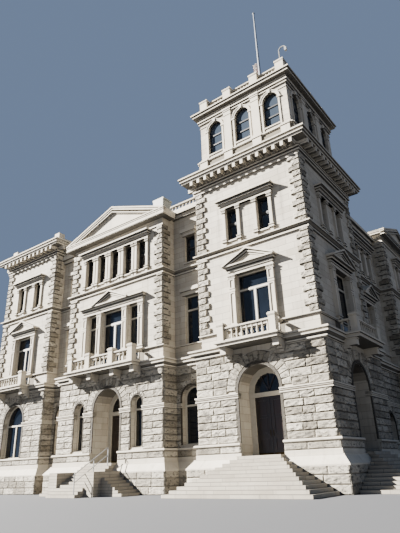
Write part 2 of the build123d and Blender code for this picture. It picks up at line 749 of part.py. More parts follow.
def build_cornices():
    """Decks with cornices on the tower and the left pavilion, and cornices of the lower walls."""
    with BuildPart() as decks:
        profile = eaves_profile(PAVILION_TOP, EAVES_TOP, EAVES_OUT)
        moulded_prism(square(TOWER_X, TOWER_Y, TOWER), profile)
        moulded_prism(rectangle(LEFT_FACE, LEFT_FACE + LEFT, FRONT, FRONT + TOWER), profile)
    finish(decks, "pavilion_cornices")
    with BuildPart() as low:
        for name in RECESSED:
            section = SECTIONS[name]
            depth = section.thick
            u = (-section.left, section.right)
            lip = (RECESS_TOP + LOW_EAVES_TOP) / 2
            face_block(section.face, u, (RECESS_TOP, lip), (-depth, LOW_EAVES_OUT / 2))
            face_block(section.face, u, (lip, LOW_EAVES_TOP), (-depth, LOW_EAVES_OUT))
    finish(low, "recess_cornices")
    with BuildPart() as attic:
        x, y = RIGHT - TOWER, FRONT + TOWER
        prism(rectangle(x, x + ATTIC_WALL, FRONT + WALL, y), ROOF_DECK, PAVILION_TOP)
        prism(rectangle(x, RIGHT - WALL, y - ATTIC_WALL, y), ROOF_DECK, PAVILION_TOP)
        x = LEFT_FACE + LEFT
        prism(rectangle(x - ATTIC_WALL, x, FRONT + WALL, y), ROOF_DECK, PAVILION_TOP)
        prism(rectangle(LEFT_FACE + WALL, x, y - ATTIC_WALL, y), ROOF_DECK, PAVILION_TOP)
        y = BACK - REAR
        x = RIGHT - TOWER
        prism(rectangle(x, x + ATTIC_WALL, y, BACK - WALL), ROOF_DECK, REAR_TOP)
        prism(rectangle(x, RIGHT - WALL, y, y + ATTIC_WALL), ROOF_DECK, REAR_TOP)
        x = LEFT_FACE + TOWER
        prism(rectangle(x - ATTIC_WALL, x, y, BACK - WALL), ROOF_DECK, REAR_TOP)
        prism(rectangle(LEFT_FACE + WALL, x, y, y + ATTIC_WALL), ROOF_DECK, REAR_TOP)
    finish(attic, "attic_walls")


def gable_points(half, foot, head):
    """Outline of a gable with upright ends, its ridge over the middle."""
    return [(-half, foot), (half, foot), (half, head), (0, head + half * RAKE), (-half, head)]


def sink_tympanum(face, half, head):
    """Sink the field of a pediment behind its level and raking cornices."""
    inner = half - PEDIMENT_CORNICE / RAKE / 2
    field = [(-inner, head), (inner, head), (0, head + inner * RAKE)]
    plate(face, [field], PEDIMENT_OUT - TYMPANUM_SUNK, PEDIMENT_OUT, Mode.SUBTRACT)


def rear_corners():
    """Right and left edges of the two rear pavilions in plan."""
    return ((RIGHT - TOWER, RIGHT), (LEFT_FACE, LEFT_FACE + TOWER))


def build_pediments():
    """Pediments of the centre and rear pavilions and the gable roofs behind them."""
    centre = SECTIONS["centre"]
    clear = CENTRE_FORWARD + SET_BACK - LOW_EAVES_OUT
    half = CENTRE / 2 + PEDIMENT_OUT
    head = CENTRE_TOP + PEDIMENT_CORNICE
    with BuildPart() as pediments:
        plate(centre.face, [gable_points(half, CENTRE_TOP, head)], -clear, PEDIMENT_OUT)
        plate(centre.face, [gable_points(CENTRE / 2, CENTRE_TOP, head)], -centre.thick, -clear)
        sink_tympanum(centre.face, half, head)
    finish(pediments, "centre_pediment")
    half = REAR / 2 + PEDIMENT_OUT
    head = REAR_TOP + PEDIMENT_CORNICE
    with BuildPart() as rear:
        for x0, x1 in rear_corners():
            profile = eaves_profile(REAR_TOP, head, PEDIMENT_OUT)
            moulded_prism(rectangle(x0, x1, BACK - REAR, BACK), profile)
        for name in ("right_rear", "left_rear"):
            face = SECTIONS[name].face
            ridge = [(-half, head), (half, head), (0, head + half * RAKE)]
            plate(face, [ridge], -TOWER - PEDIMENT_OUT, PEDIMENT_OUT)
            sink_tympanum(face, half, head)
    finish(rear, "rear_gables")
    with BuildPart() as roof:
        eave = CENTRE_TOP + PEDIMENT_CORNICE + PEDIMENT_OUT * RAKE - ROOF_STEP
        plate(centre.face, [gable_points(CENTRE / 2, ROOF_DECK, eave)], -ROOF_BACK, -centre.thick)
        for side in (-1, 1):
            u = side * ROOF_BLOCK_PLACE
            face_block(centre.face, (u - ROOF_BLOCK / 2, u + ROOF_BLOCK / 2), (ROOF_DECK, ROOF_BLOCK_TOP),
                       (-centre.thick - ROOF_BLOCK, -centre.thick))
            half = ROOF_BLOCK / 2 + CAP_OUT
            face_block(centre.face, (u - half, u + half), (ROOF_BLOCK_TOP - CAP_DEEP, ROOF_BLOCK_TOP),
                       (-centre.thick - ROOF_BLOCK - CAP_OUT, -centre.thick))
    finish(roof, "centre_roof")


# Belfry

def belfry_faces():
    """Planes on the four sides of the belfry's wall."""
    half = TOWER / 2 - BELFRY_INSET
    return {
        "front": facing(TOWER_X, TOWER_Y - half, "front"),
        "right": facing(TOWER_X + half, TOWER_Y, "right"),
        "back": facing(TOWER_X, TOWER_Y + half, "back"),
        "left": facing(TOWER_X - half, TOWER_Y, "left"),
    }


def belfry_windows():
    """Three arched windows in each side of the belfry."""
    return [Opening(BELFRY_STEP * k, BELFRY_WINDOW, BELFRY_SILL, BELFRY_CROWN, True, 0, False, "belfry")
            for k in (-1, 0, 1)]


def build_belfry():
    """Belfry over the tower: plinth, walls between corner piers, pilasters and cornice deck."""
    size = TOWER - 2 * BELFRY_INSET
    half = size / 2
    with BuildPart() as plinth:
        foot, cap = EAVES_TOP + PLINTH_FOOT_TALL, BELFRY_FOOT - PLINTH_CAP_TALL
        moulded_prism(square(TOWER_X, TOWER_Y, size),
                      [(EAVES_TOP, PLINTH_FOOT_OUT), (foot, PLINTH_FOOT_OUT), (foot, PLINTH_BODY_OUT),
                       (cap, PLINTH_BODY_OUT), (cap, PLINTH_CAP_OUT), (BELFRY_FOOT, PLINTH_CAP_OUT)])
    finish(plinth, "belfry_plinth")
    with BuildPart() as walls:
        for face in belfry_faces().values():
            span = half - BELFRY_PIER
            face_block(face, (-span, span), (BELFRY_FOOT, BELFRY_TOP), (-BELFRY_WALL, 0))
            outlines = [shifted_points(opening) for opening in belfry_windows()]
            plate(face, outlines, -2 * BELFRY_WALL, BELFRY_WALL, Mode.SUBTRACT)
    finish(walls, "belfry_walls")
    with BuildPart() as piers:
        middle = half - BELFRY_PIER / 2
        for sx in (-1, 1):
            for sy in (-1, 1):
                prism(square(TOWER_X + sx * middle, TOWER_Y + sy * middle, BELFRY_PIER), BELFRY_FOOT,
                      BELFRY_TOP)
    finish(piers, "belfry_piers")
    with BuildPart() as pilasters:
        for face in belfry_faces().values():
            for k in (-0.5, 0.5):
                u = BELFRY_STEP * k
                wide = (u - BELFRY_PILASTER / 2, u + BELFRY_PILASTER / 2)
                face_block(face, wide, (BELFRY_FOOT, BELFRY_TOP), (0, BELFRY_PIER_OUT))
    finish(pilasters, "belfry_pilasters")
    with BuildPart() as deck:
        profile = eaves_profile(BELFRY_TOP, BELFRY_EAVES_TOP, BELFRY_EAVES_OUT)
        moulded_prism(square(TOWER_X, TOWER_Y, size), profile)
    finish(deck, "belfry_cornice")


# Balustrades

def square_on(plane, u, size):
    """Corners in plan of a square about a place along a level plane's X."""
    half = size / 2
    middle = plane.origin + plane.x_dir * u
    corners = [middle + plane.x_dir * (half * a) + plane.y_dir * (half * b)
               for a, b in ((-1, -1), (1, -1), (1, 1), (-1, 1))]
    return [(corner.X, corner.Y) for corner in corners]


def baluster(plane, u, height):
    """A baluster's two halves, wide at its ends and narrow at its waist."""
    foot = plane.origin.Z + RAIL_DEEP
    head = plane.origin.Z + height - RAIL_DEEP
    waist = (foot + head) / 2
    wide, narrow = square_on(plane, u, BALUSTER_FOOT), square_on(plane, u, BALUSTER_NECK)
    return [sloping_prism(wide, foot, narrow, waist), sloping_prism(narrow, waist, wide, head)]


def baluster_row(plane, length, height, wide=RAIL_WIDE):
    """Plinth, balusters and handrail in one run, along X from the plane's origin."""
    count = max(2, round(length / BALUSTER_STEP) - 1)
    step = length / count
    with BuildPart(plane) as run:
        with Locations((length / 2, 0, RAIL_DEEP / 2), (length / 2, 0, height - RAIL_DEEP / 2)):
            Box(length, wide, RAIL_DEEP)
    halves = [half for k in range(count) for half in baluster(plane, (k + 0.5) * step, height)]
    with BuildPart() as row:
        add(run.part)
        add(halves)
    return row.part


def run_plane(face, u, out, height):
    """Level plane whose X runs along a wall face, from a place on it."""
    origin = face.origin + face.x_dir * u + face.z_dir * out + Vector(0, 0, height)
    return Plane(origin=origin, x_dir=face.x_dir, z_dir=(0, 0, 1))


def end_plane(face, u, out, height):
    """Level plane whose X runs outwards from a wall face."""
    origin = face.origin + face.x_dir * u + face.z_dir * out + Vector(0, 0, height)
    return Plane(origin=origin, x_dir=face.z_dir, z_dir=(0, 0, 1))


def balcony_piers(wide):
    """Places of a balcony's piers along the wall."""
    end = wide / 2 - PIER / 2 - PIER_INSET
    if wide > BALCONY_WIDE:
        inner = end / CENTRE_PIER_SHARE
        return [-end, -inner, inner, end]
    return [-end, end]


def build_balconies(baluster_rows):
    """Balcony slabs on brackets, their piers and balustrades, and the roof's balustrades."""
    slab_top = BALCONY_FOOT + BALCONY_SLAB
    pier_out = BALCONY_OUT - PIER / 2 - PIER_INSET
    with BuildPart() as slabs:
        for name, wide in balconies().items():
            section = SECTIONS[name]
            face_block(section.face, (-wide / 2, wide / 2), (BALCONY_FOOT, slab_top), (0, BALCONY_OUT))
            for u in balcony_piers(wide):
                face_block(section.face, (u - BRACKET_WIDE / 2, u + BRACKET_WIDE / 2),
                           (BALCONY_FOOT - BRACKET_DEEP, BALCONY_FOOT), (GROUND_OUT, BRACKET_OUT))
    finish(slabs, "balconies")
    with BuildPart() as pedestals:
        for name, wide in balconies().items():
            face = SECTIONS[name].face
            for u in balcony_piers(wide):
                face_block(face, (u - PIER / 2, u + PIER / 2), (slab_top, PIER_TOP),
                           (pier_out - PIER / 2, pier_out + PIER / 2))
        half = TOWER / 2 - BELFRY_INSET - PEDESTAL / 2
        for sx in (-1, 1):
            for sy in (-1, 1):
                corner = square(TOWER_X + sx * half, TOWER_Y + sy * half, PEDESTAL)
                prism(corner, BELFRY_EAVES_TOP, PEDESTAL_TOP)
        for face in belfry_faces().values():
            for u in (-BELFRY_STEP / 2, BELFRY_STEP / 2):
                face_block(face, (u - PEDESTAL / 2, u + PEDESTAL / 2), (BELFRY_EAVES_TOP, PEDESTAL_TOP),
                           (-PEDESTAL, 0))
    finish(pedestals, "pedestals")
    with BuildPart() as parapet:
        outer = rectangle(LEFT_FACE, LEFT_FACE + LEFT, FRONT, FRONT + TOWER)
        prism(outer, EAVES_TOP, LOW_PARAPET_TOP)
        prism(grown(outer, -PIER), EAVES_TOP, LOW_PARAPET_TOP, Mode.SUBTRACT)
        for x in (LEFT_FACE + PEDESTAL / 2, LEFT_FACE + LEFT - PEDESTAL / 2):
            for y in (FRONT + PEDESTAL / 2, FRONT + TOWER - PEDESTAL / 2):
                prism(square(x, y, PEDESTAL), EAVES_TOP, ROOF_PARAPET_TOP)
    finish(parapet, "left_parapet")
    with BuildPart() as rails:
        add(baluster_rows)
    finish(rails, "balustrades")


def between(face, places, wide, out, foot, height):
    """Rows of balusters between pedestals whose middles stand at the given places."""
    rows = []
    for u, following in zip(places, places[1:]):
        rows.append(baluster_row(run_plane(face, u + wide / 2, out, foot), following - u - wide, height))
    return rows


def make_baluster_rows():
    """Every row of balusters: on the balconies, the belfry's roof and the recesses."""
    rows = []
    slab_top = BALCONY_FOOT + BALCONY_SLAB
    pier_out = BALCONY_OUT - PIER / 2 - PIER_INSET
    height = RAIL_TOP - slab_top
    for name, wide in balconies().items():
        face = SECTIONS[name].face
        places = balcony_piers(wide)
        rows += between(face, places, PIER, pier_out, slab_top, height)
        for u in (places[0], places[-1]):
            reach = pier_out - PIER / 2 - PILASTER_OUT
            rows.append(baluster_row(end_plane(face, u, PILASTER_OUT, slab_top), reach, height))
    corner = TOWER / 2 - BELFRY_INSET - PEDESTAL / 2
    for face in belfry_faces().values():
        places = [-corner, -BELFRY_STEP / 2, BELFRY_STEP / 2, corner]
        rows += between(face, places, PEDESTAL, -PEDESTAL / 2, BELFRY_EAVES_TOP,
                        PARAPET_TOP - BELFRY_EAVES_TOP)
    for name in ("near_recess", "far_recess"):
        section = SECTIONS[name]
        rows.append(baluster_row(run_plane(section.face, -section.left, -RAIL_WIDE, LOW_EAVES_TOP),
                                 section.left + section.right, RECESS_RAIL_TOP - LOW_EAVES_TOP))
    return rows


# Windows and surrounds

def frame_width(opening):
    """Width of a window's frame: heavy in the deep ground-storey arches."""
    if opening.storey == "belfry":
        return BELFRY_FRAME
    if opening.storey in ("ground", "door") and opening.width == DOOR_WIDE:
        return GROUND_FRAME_WIDE
    return FRAME_WIDE


def window_frames(face, openings, back):
    """Frames in a wall's openings, their bars on the outer half so that the glass lies behind them."""
    front = back + FRAME_DEEP
    with BuildSketch(face.offset(back)) as rings:
        for opening in openings:
            polygon(shifted_points(opening))
        for opening in openings:
            polygon(shifted_points(opening, frame_width(opening)), Mode.SUBTRACT)
    bars = []
    for opening in openings:
        inner = opening.width / 2 - frame_width(opening)
        u = opening.u
        if opening.transom:
            deep = TRANSOM_DEEP if opening.arched and opening.width == DOOR_WIDE else BAR_WIDE
            bars.append(box_points((u - inner, u + inner), (opening.transom, opening.transom + deep)))
        if opening.mullion:
            foot = opening.sill + frame_width(opening)
            bars.append(box_points((u - BAR_WIDE / 2, u + BAR_WIDE / 2), (foot, opening.transom)))
    solids = [extrude(rings.sketch, amount=FRAME_DEEP, mode=Mode.PRIVATE)]
    if bars:
        solids.append(plate(face, bars, front - BAR_DEEP, front, Mode.PRIVATE))
    return solids


def window_sheets(face, openings, back):
    """Sheets of glass behind the bars of a wall's windows."""
    near = back + FRAME_DEEP - BAR_DEEP - GLASS_THICK
    outlines = [shifted_points(opening, frame_width(opening)) for opening in openings]
    return plate(face, outlines, near, near + GLASS_THICK, Mode.PRIVATE)


def build_windows():
    """Frames and glass of every window; the doorways' fanlights are made with the doors."""
    walls = []
    for section in SECTIONS.values():
        openings = [one for one in OPENINGS[section.kind] if one.storey != "door"]
        walls.append((section.face, openings, -REVEAL - FRAME_DEEP))
    for face in belfry_faces().values():
        walls.append((face, belfry_windows(), -REVEAL))
    with BuildPart() as frames:
        for wall in walls:
            add(window_frames(*wall))
    finish(frames, "window_frames")
    with BuildPart() as glass:
        add([window_sheets(*wall) for wall in walls])
    finish(glass, "window_glass")


def pedimented_surround(face, half, foot, head):
    """Pilasters, entablature and small pediment round a second-storey window."""
    for side in (-1, 1):
        u = side * (half + PILASTER / 2)
        face_block(face, (u - PILASTER / 2, u + PILASTER / 2), (foot, head), (0, PILASTER_OUT))
    reach = half + PILASTER
    face_block(face, (-reach, reach), (head, head + ENTABLATURE), (0, PILASTER_OUT))
    lip = reach + SURROUND_LIP
    top = head + ENTABLATURE
    eave = top + SURROUND_CORNICE
    small = [(-lip, top), (lip, top), (lip, eave), (0, top + PEDIMENT_RISE), (-lip, eave)]
    plate(face, [small], 0, ENTABLATURE_OUT)


def flat_hood(face, u, half, head, out):
    """Flat moulded hood over an opening."""
    face_block(face, (u - half, u + half), (head, head + HOOD / 2), (0, out / 2))
    face_block(face, (u - half - HOOD_LIP, u + half + HOOD_LIP), (head + HOOD / 2, head + HOOD), (0, out))


def triple_surround(face):
    """Four pilasters, a long entablature and a small pediment round the centre's triple window."""
    inner = (CENTRE_MIDDLE_WIDE / 2 + CENTRE_SIDE_STEP - CENTRE_SIDE_WIDE / 2) / 2
    outer = CENTRE_SIDE_STEP + (CENTRE_SIDE_WIDE + PILASTER) / 2
    for u in (-outer, -inner, inner, outer):
        face_block(face, (u - PILASTER / 2, u + PILASTER / 2), (LEDGE_TOP, SECOND_HEAD), (0, PILASTER_OUT))
    reach = outer + PILASTER / 2
    top = SECOND_HEAD + ENTABLATURE
    eave = top + SURROUND_CORNICE
    face_block(face, (-reach, reach), (SECOND_HEAD, top), (0, PILASTER_OUT))
    face_block(face, (-reach - SURROUND_LIP, reach + SURROUND_LIP), (top, eave), (0, ENTABLATURE_OUT))
    half = inner + PILASTER
    plate(face, [[(-half, eave), (half, eave), (0, top + PEDIMENT_RISE)]], 0, ENTABLATURE_OUT)


def build_surrounds():
    """Stone surrounds of the second and third-storey windows."""
    with BuildPart() as second:
        for name in ("tower", "left", "tower_side", "left_side", "right_rear", "left_rear", "back_right",
                     "back_left"):
            pedimented_surround(SECTIONS[name].face, SECOND_WIDE / 2, LEDGE_TOP, SECOND_HEAD)
        for name in ("right_middle", "left_middle"):
            pedimented_surround(SECTIONS[name].face, MIDDLE_WIDE / 2, LEDGE_TOP, SECOND_HEAD)
        triple_surround(SECTIONS["centre"].face)
        for section in SECTIONS.values():
            for one in OPENINGS[section.kind]:
                if section.kind in ("recess", "long") and one.storey == "second":
                    flat_hood(section.face, one.u, one.width / 2 + HOOD_SIDE, SECOND_HEAD, HOOD_OUT)
    finish(second, "second_storey_surrounds")
    with BuildPart() as third:
        for name, section in SECTIONS.items():
            openings = [one for one in OPENINGS[section.kind] if one.storey == "third"]
            if section.kind == "long" or section.kind == "recess":
                for one in openings:
                    flat_hood(section.face, one.u, one.width / 2 + HOOD_SIDE, LOW_HEAD, HOOD_OUT)
                continue
            places = sorted({one.u + side * (one.width + SMALL_PILASTER) / 2
                             for one in openings for side in (-1, 1)})
            for u in places:
                face_block(section.face, (u - SMALL_PILASTER / 2, u + SMALL_PILASTER / 2),
                           (STRING_TOP, THIRD_HEAD), (0, SMALL_PILASTER_OUT))
            flat_hood(section.face, 0, max(places) + SMALL_PILASTER / 2, THIRD_HEAD, HOOD_OUT)
    finish(third, "third_storey_surrounds")


# Doors

def door_depths(section):
    """Back of a doorway's frame and back of its leaves, outwards from the wall's face."""
    back = -section.thick + DOOR_INSET
    return back, back + LEAF_INSET


def hinge_heights(transom):
    """Feet of a leaf's three hinges."""
    foot = GROUND_FLOOR + STILE
    head = transom - STILE - HINGE_TALL
    return (foot, (foot + head) / 2, head)


def build_doors():
    """Frames, fanlights and pairs of hinged leaves of the three entrances."""
    clear = DOOR_WIDE / 2 - GROUND_FRAME_WIDE
    transom = GROUND_BAR
    with BuildPart() as jambs:
        for name in DOORWAYS:
            section = SECTIONS[name]
            back, leaf_back = door_depths(section)
            for side in (-1, 1):
                u = sorted((side * clear, side * DOOR_WIDE / 2))
                face_block(section.face, u, (GROUND_FLOOR, transom), (back, back + FRAME_DEEP))
                hinge = sorted((side * (clear - LEAF_GAP + FINE_GAP), side * clear))
                for height in hinge_heights(transom):
                    face_block(section.face, hinge, (height, height + HINGE_TALL),
                               (leaf_back, leaf_back + LEAF_THICK))
    finish(jambs, "door_jambs")
    with BuildPart() as fanlights:
        for name in DOORWAYS:
            section = SECTIONS[name]
            back, _ = door_depths(section)
            head = Opening(0, DOOR_WIDE, transom, SPRING + DOOR_WIDE / 2, True, 0, False, "door")
            with BuildSketch(section.face.offset(back)) as ring:
                polygon(outline_points(head))
                polygon(outline_points(head._replace(sill=transom + TRANSOM_DEEP - GROUND_FRAME_WIDE),
                                       GROUND_FRAME_WIDE), Mode.SUBTRACT)
            extrude(ring.sketch, amount=FRAME_DEEP)
    finish(fanlights, "fanlight_frames")
    with BuildPart() as panes:
        for name in DOORWAYS:
            section = SECTIONS[name]
            back, _ = door_depths(section)
            head = Opening(0, DOOR_WIDE, transom + TRANSOM_DEEP - GROUND_FRAME_WIDE, SPRING + DOOR_WIDE / 2,
                           True, 0, False, "door")
            near = back + FRAME_DEEP - BAR_DEEP
            plate(section.face, [outline_points(head, GROUND_FRAME_WIDE)], near - GLASS_THICK, near)
    finish(panes, "fanlight_glass")
    for name in DOORWAYS:
        section = SECTIONS[name]
        _, back = door_depths(section)
        for side, hand in ((-1, "left"), (1, "right")):
            with BuildPart() as leaf:
                u = sorted((side * LEAF_MEETING, side * (clear - LEAF_GAP)))
                z = (GROUND_FLOOR + LEAF_RISE, transom - LEAF_RISE)
                face_block(section.face, u, z, (back, back + LEAF_THICK))
                fields = [(z[0] + STILE, z[0] + LOCK_RAIL), (z[0] + LOCK_RAIL + STILE, z[1] - STILE)]
                for low, high in fields:
                    face_block(section.face, (u[0] + STILE, u[1] - STILE), (low, high),
                               (back + LEAF_THICK - PANEL_DEEP, back + LEAF_THICK), Mode.SUBTRACT)
            finish(leaf, f"{name}_door_{hand}")


# Steps

def pyramid_flight(section):
    """Steps spreading on three sides from a doorway's landing."""
    landing = (-section.thick, BASE_OUT)
    half = DOOR_WIDE / 2
    face_block(section.face, (-half, half), (0, GROUND_FLOOR), landing)
    for k in range(1, RISERS):
        spread = k * TREAD
        face_block(section.face, (-half - spread, half + spread), (0, GROUND_FLOOR - k * RISE),
                   (BASE_OUT, BASE_OUT + spread))


def cheeked_flight(section):
    """Steps between cheek blocks, with a short flight outside each block."""
    half = DOOR_WIDE / 2
    face_block(section.face, (-half, half), (0, GROUND_FLOOR), (-section.thick, BASE_OUT))
    for k in range(1, RISERS):
        face_block(section.face, (-half, half), (0, GROUND_FLOOR - k * RISE),
                   (BASE_OUT, BASE_OUT + k * TREAD))
    for side in (-1, 1):
        cheek = sorted((side * half, side * (half + CHEEK_WIDE)))
        face_block(section.face, cheek, (0, CHEEK_TOP), (BASE_OUT, BASE_OUT + CHEEK_LONG))
        for k in range(1, SIDE_RISERS + 1):
            u = sorted((side * (half + CHEEK_WIDE), side * (half + CHEEK_WIDE + k * TREAD)))
            face_block(section.face, u, (0, (SIDE_RISERS + 1 - k) * RISE), (BASE_OUT, BASE_OUT + SIDE_DEEP))


def build_handrail():
    """Two sloping rails fixed to the sides of three posts, beside the middle entrance's steps."""
    section = SECTIONS["centre"]
    u = DOOR_WIDE / 2 - HANDRAIL_INSET
    side = Plane(origin=section.face.origin + section.face.x_dir * u, x_dir=section.face.z_dir,
                 z_dir=-section.face.x_dir)
    slope = RISE / TREAD
    first, last = BASE_OUT + TREAD / 2, BASE_OUT + (RISERS - 1.5) * TREAD
    rails, posts = [], []
    for height in (HANDRAIL_LOW, HANDRAIL_RISE):
        start = GROUND_FLOOR - RISE / 2 + height
        end = start - (last - first) * slope
        rails.append([(first, start), (last, end), (last, end + HANDRAIL_THICK), (first, start + HANDRAIL_THICK)])
    for step in (1, RISERS // 2, RISERS - 1):
        place = BASE_OUT + (step - 0.5) * TREAD
        foot = GROUND_FLOOR - step * RISE
        head = GROUND_FLOOR - RISE / 2 + HANDRAIL_RISE - (place - first) * slope
        posts.append(box_points((place - HANDRAIL_THICK / 2, place + HANDRAIL_THICK / 2), (foot, head)))
    with BuildPart() as rail:
        plate(side, posts, 0, HANDRAIL_THICK)
        plate(side, rails, HANDRAIL_THICK, 2 * HANDRAIL_THICK)
    finish(rail, "handrail")


def build_steps():
    """Flights of steps at the three entrances."""
    with BuildPart() as tower_steps:
        pyramid_flight(SECTIONS["tower"])
    finish(tower_steps, "tower_steps")
    with BuildPart() as side_steps:
        pyramid_flight(SECTIONS["tower_side"])
    finish(side_steps, "tower_side_steps")
    with BuildPart() as centre_steps:
        cheeked_flight(SECTIONS["centre"])
    finish(centre_steps, "centre_steps")


# Flagpole and lamp

def pole_radius(height):
    """Radius of the tapered flagpole at a height."""
    share = (height - BELFRY_EAVES_TOP) / (POLE_TOP - 2 * BALL_RADIUS - BELFRY_EAVES_TOP)
    return POLE_FOOT_RADIUS + share * (POLE_HEAD_RADIUS - POLE_FOOT_RADIUS)


def many_sided(radius):
    """Corners of the round pole's many-sided section."""
    turns = [2 * math.pi * k / POLE_SIDES for k in range(POLE_SIDES)]
    return [(TOWER_X + radius * math.cos(a), TOWER_Y + radius * math.sin(a)) for a in turns]


def build_pole():
    """Tapered flagpole with its finial, the flag hanging at it, and the lamp on the corner pedestal."""
    foot, shoulder = BELFRY_EAVES_TOP, POLE_TOP - 2 * BALL_RADIUS
    stages = [(foot, POLE_FOOT_RADIUS), (shoulder, POLE_HEAD_RADIUS), (shoulder + BALL_RADIUS, BALL_RADIUS),
              (POLE_TOP, BALL_RADIUS / 2)]
    with BuildPart() as pole:
        for (low, radius), (high, next_radius) in zip(stages, stages[1:]):
            add(sloping_prism(many_sided(radius), low, many_sided(next_radius), high))
    finish(pole, "flagpole")
    with BuildPart() as flag:
        x = TOWER_X - pole_radius(FLAG_TOP - FLAG_DROP) - FINE_GAP - FLAG_WIDE
        block((x, x + FLAG_WIDE), (TOWER_Y - FLAG_THICK / 2, TOWER_Y + FLAG_THICK / 2),
              (FLAG_TOP - FLAG_DROP, FLAG_TOP))
    finish(flag, "flag")
    with BuildPart() as lamp:
        half = TOWER / 2 - BELFRY_INSET - PEDESTAL / 2
        x, y = TOWER_X + half, TOWER_Y - half
        bend = PEDESTAL_TOP + LAMP_RISE - LAMP_REACH / 2
        with BuildLine() as path:
            Line((x, y, PEDESTAL_TOP), (x, y, bend))
            TangentArc((x, y, bend), (x + LAMP_REACH, y, bend), tangent=(0, 0, 1))
        with BuildSketch(Plane.XY.offset(PEDESTAL_TOP)) as tube:
            with Locations((x, y)):
                RegularPolygon(LAMP_RADIUS, LAMP_SIDES)
        sweep(tube.sketch, path=path.line)
        wide, deep, tall = LAMP_HEAD
        block((x + LAMP_REACH - wide / 2, x + LAMP_REACH + wide / 2), (y - deep / 2, y + deep / 2),
              (bend - tall, bend))
    finish(lamp, "corner_lamp")


os.makedirs("parts", exist_ok=True)
build_walls()
build_base()
build_bands()
build_floors()
build_tower_frame()
build_cornices()
build_modillions()
build_pediments()
build_belfry()
build_balconies(make_baluster_rows())
build_windows()
build_surrounds()
build_doors()
build_steps()
build_handrail()
build_pole()
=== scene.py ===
"""Courthouse of pale granite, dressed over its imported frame.

The CAD nodes give the walls, floors, decks and plain mouldings. This script gives them their finishes and adds
what is too fine for the solids: rock-faced courses, voussoirs, quoins, fillets, window joinery, turned
balusters, door mouldings and the hanging flag. Everything is in metres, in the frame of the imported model.
"""
import json
import logging
import math
import random
from dataclasses import dataclass, replace
from enum import Enum
from typing import Sequence

import bpy
from mathutils import Matrix, Vector


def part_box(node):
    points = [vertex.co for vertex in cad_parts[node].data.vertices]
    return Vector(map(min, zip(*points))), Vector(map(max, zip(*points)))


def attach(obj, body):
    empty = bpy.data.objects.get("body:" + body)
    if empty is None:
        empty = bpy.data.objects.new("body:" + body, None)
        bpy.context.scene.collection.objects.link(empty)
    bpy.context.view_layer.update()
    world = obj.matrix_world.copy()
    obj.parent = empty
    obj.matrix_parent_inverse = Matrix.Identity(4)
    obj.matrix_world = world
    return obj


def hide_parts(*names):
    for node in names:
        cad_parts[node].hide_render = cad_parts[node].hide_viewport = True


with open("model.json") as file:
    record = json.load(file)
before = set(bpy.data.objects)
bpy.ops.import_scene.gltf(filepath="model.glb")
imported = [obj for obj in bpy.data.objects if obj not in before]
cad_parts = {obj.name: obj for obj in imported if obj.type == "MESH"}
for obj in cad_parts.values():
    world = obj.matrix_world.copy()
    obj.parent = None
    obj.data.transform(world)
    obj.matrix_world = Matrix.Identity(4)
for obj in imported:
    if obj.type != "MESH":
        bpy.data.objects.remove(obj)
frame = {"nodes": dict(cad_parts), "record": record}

LOG = logging.getLogger("courthouse")
BUILDING = "building"
ARCH_SIDES = 12
LUMPS_A_METRE = 9.0
RELIEF_SEED = 7
Pair = tuple[float, float]
Triple = tuple[float, float, float]
Socket = bpy.types.NodeSocket


def span(middle: float, half: float) -> Pair:
    """Range that reaches equally far to both sides of its middle."""
    return middle - half, middle + half


def rectangle(u: Sequence[float], z: Sequence[float], inset: float = 0.0) -> list[Pair]:
    """Corners of a rectangle drawn in by an inset, anticlockwise from the lower left one."""
    left, right, low, high = u[0] + inset, u[1] - inset, z[0] + inset, z[1] - inset
    return [(left, low), (right, low), (right, high), (left, high)]


# Sizes that several pieces share

@dataclass(frozen=True)
class Plan:
    """Ground plan and projections of the building."""

    right: float = 13.775
    left: float = -16.575
    front: float = -10.2
    back: float = 13.3
    tower: float = 7.85
    recess: float = 2.95
    centre: float = 9.6
    left_pavilion: float = 7.0
    rear: float = 8.15
    set_back: float = 0.95
    centre_forward: float = 0.3
    ground_out: float = 0.25
    doorway: float = 2.6
    belfry_in: float = 0.35
    belfry_pilaster: float = 1.15

    @property
    def tower_middle(self) -> Pair:
        """Middle of the corner tower."""
        return self.right - self.tower / 2, self.front + self.tower / 2

    @property
    def belfry_half(self) -> float:
        """Half the width of the belfry's walls."""
        return self.tower / 2 - self.belfry_in


@dataclass(frozen=True)
class Levels:
    """Heights above the ground."""

    base_courses: float = 1.28
    floor: float = 1.83
    batter: float = 1.99
    upper_course: float = 2.35
    base: float = 2.5
    low_sill: float = 2.65
    impost: float = 4.85
    transom: float = 4.92
    impost_top: float = 5.1
    spring: float = 5.25
    crown: float = 6.55
    band: float = 7.32
    cornice_lip: float = 7.62
    balcony_floor: float = 7.9
    cornice: float = 7.91
    ledge: float = 8.87
    second_bar: float = 11.18
    second_head: float = 12.25
    string: float = 14.11
    string_top: float = 14.26
    third_sill: float = 14.7
    low_bar: float = 15.75
    third_bar: float = 15.85
    low_head: float = 16.75
    third_head: float = 17.0
    centre: float = 18.23
    recess: float = 18.36
    rear: float = 18.9
    pavilion: float = 19.5
    eaves: float = 20.25
    belfry: float = 21.7
    belfry_sill: float = 22.15
    belfry_crown: float = 24.85
    belfry_walls: float = 25.4
    belfry_eaves: float = 25.97
    parapet: float = 27.07


PLAN = Plan()
LEVELS = Levels()


class Bays(Enum):
    """Pattern of openings in one length of wall."""

    PLAIN = "plain"
    DOOR = "door"
    PAVILION = "pavilion"
    REAR = "rear"
    RECESS = "recess"
    CENTRE = "centre"
    MIDDLE = "middle"
    LONG = "long"


class Storey(Enum):
    """Storey that an opening belongs to."""

    DOOR = "door"
    GROUND = "ground"
    SECOND = "second"
    THIRD = "third"
    BELFRY = "belfry"


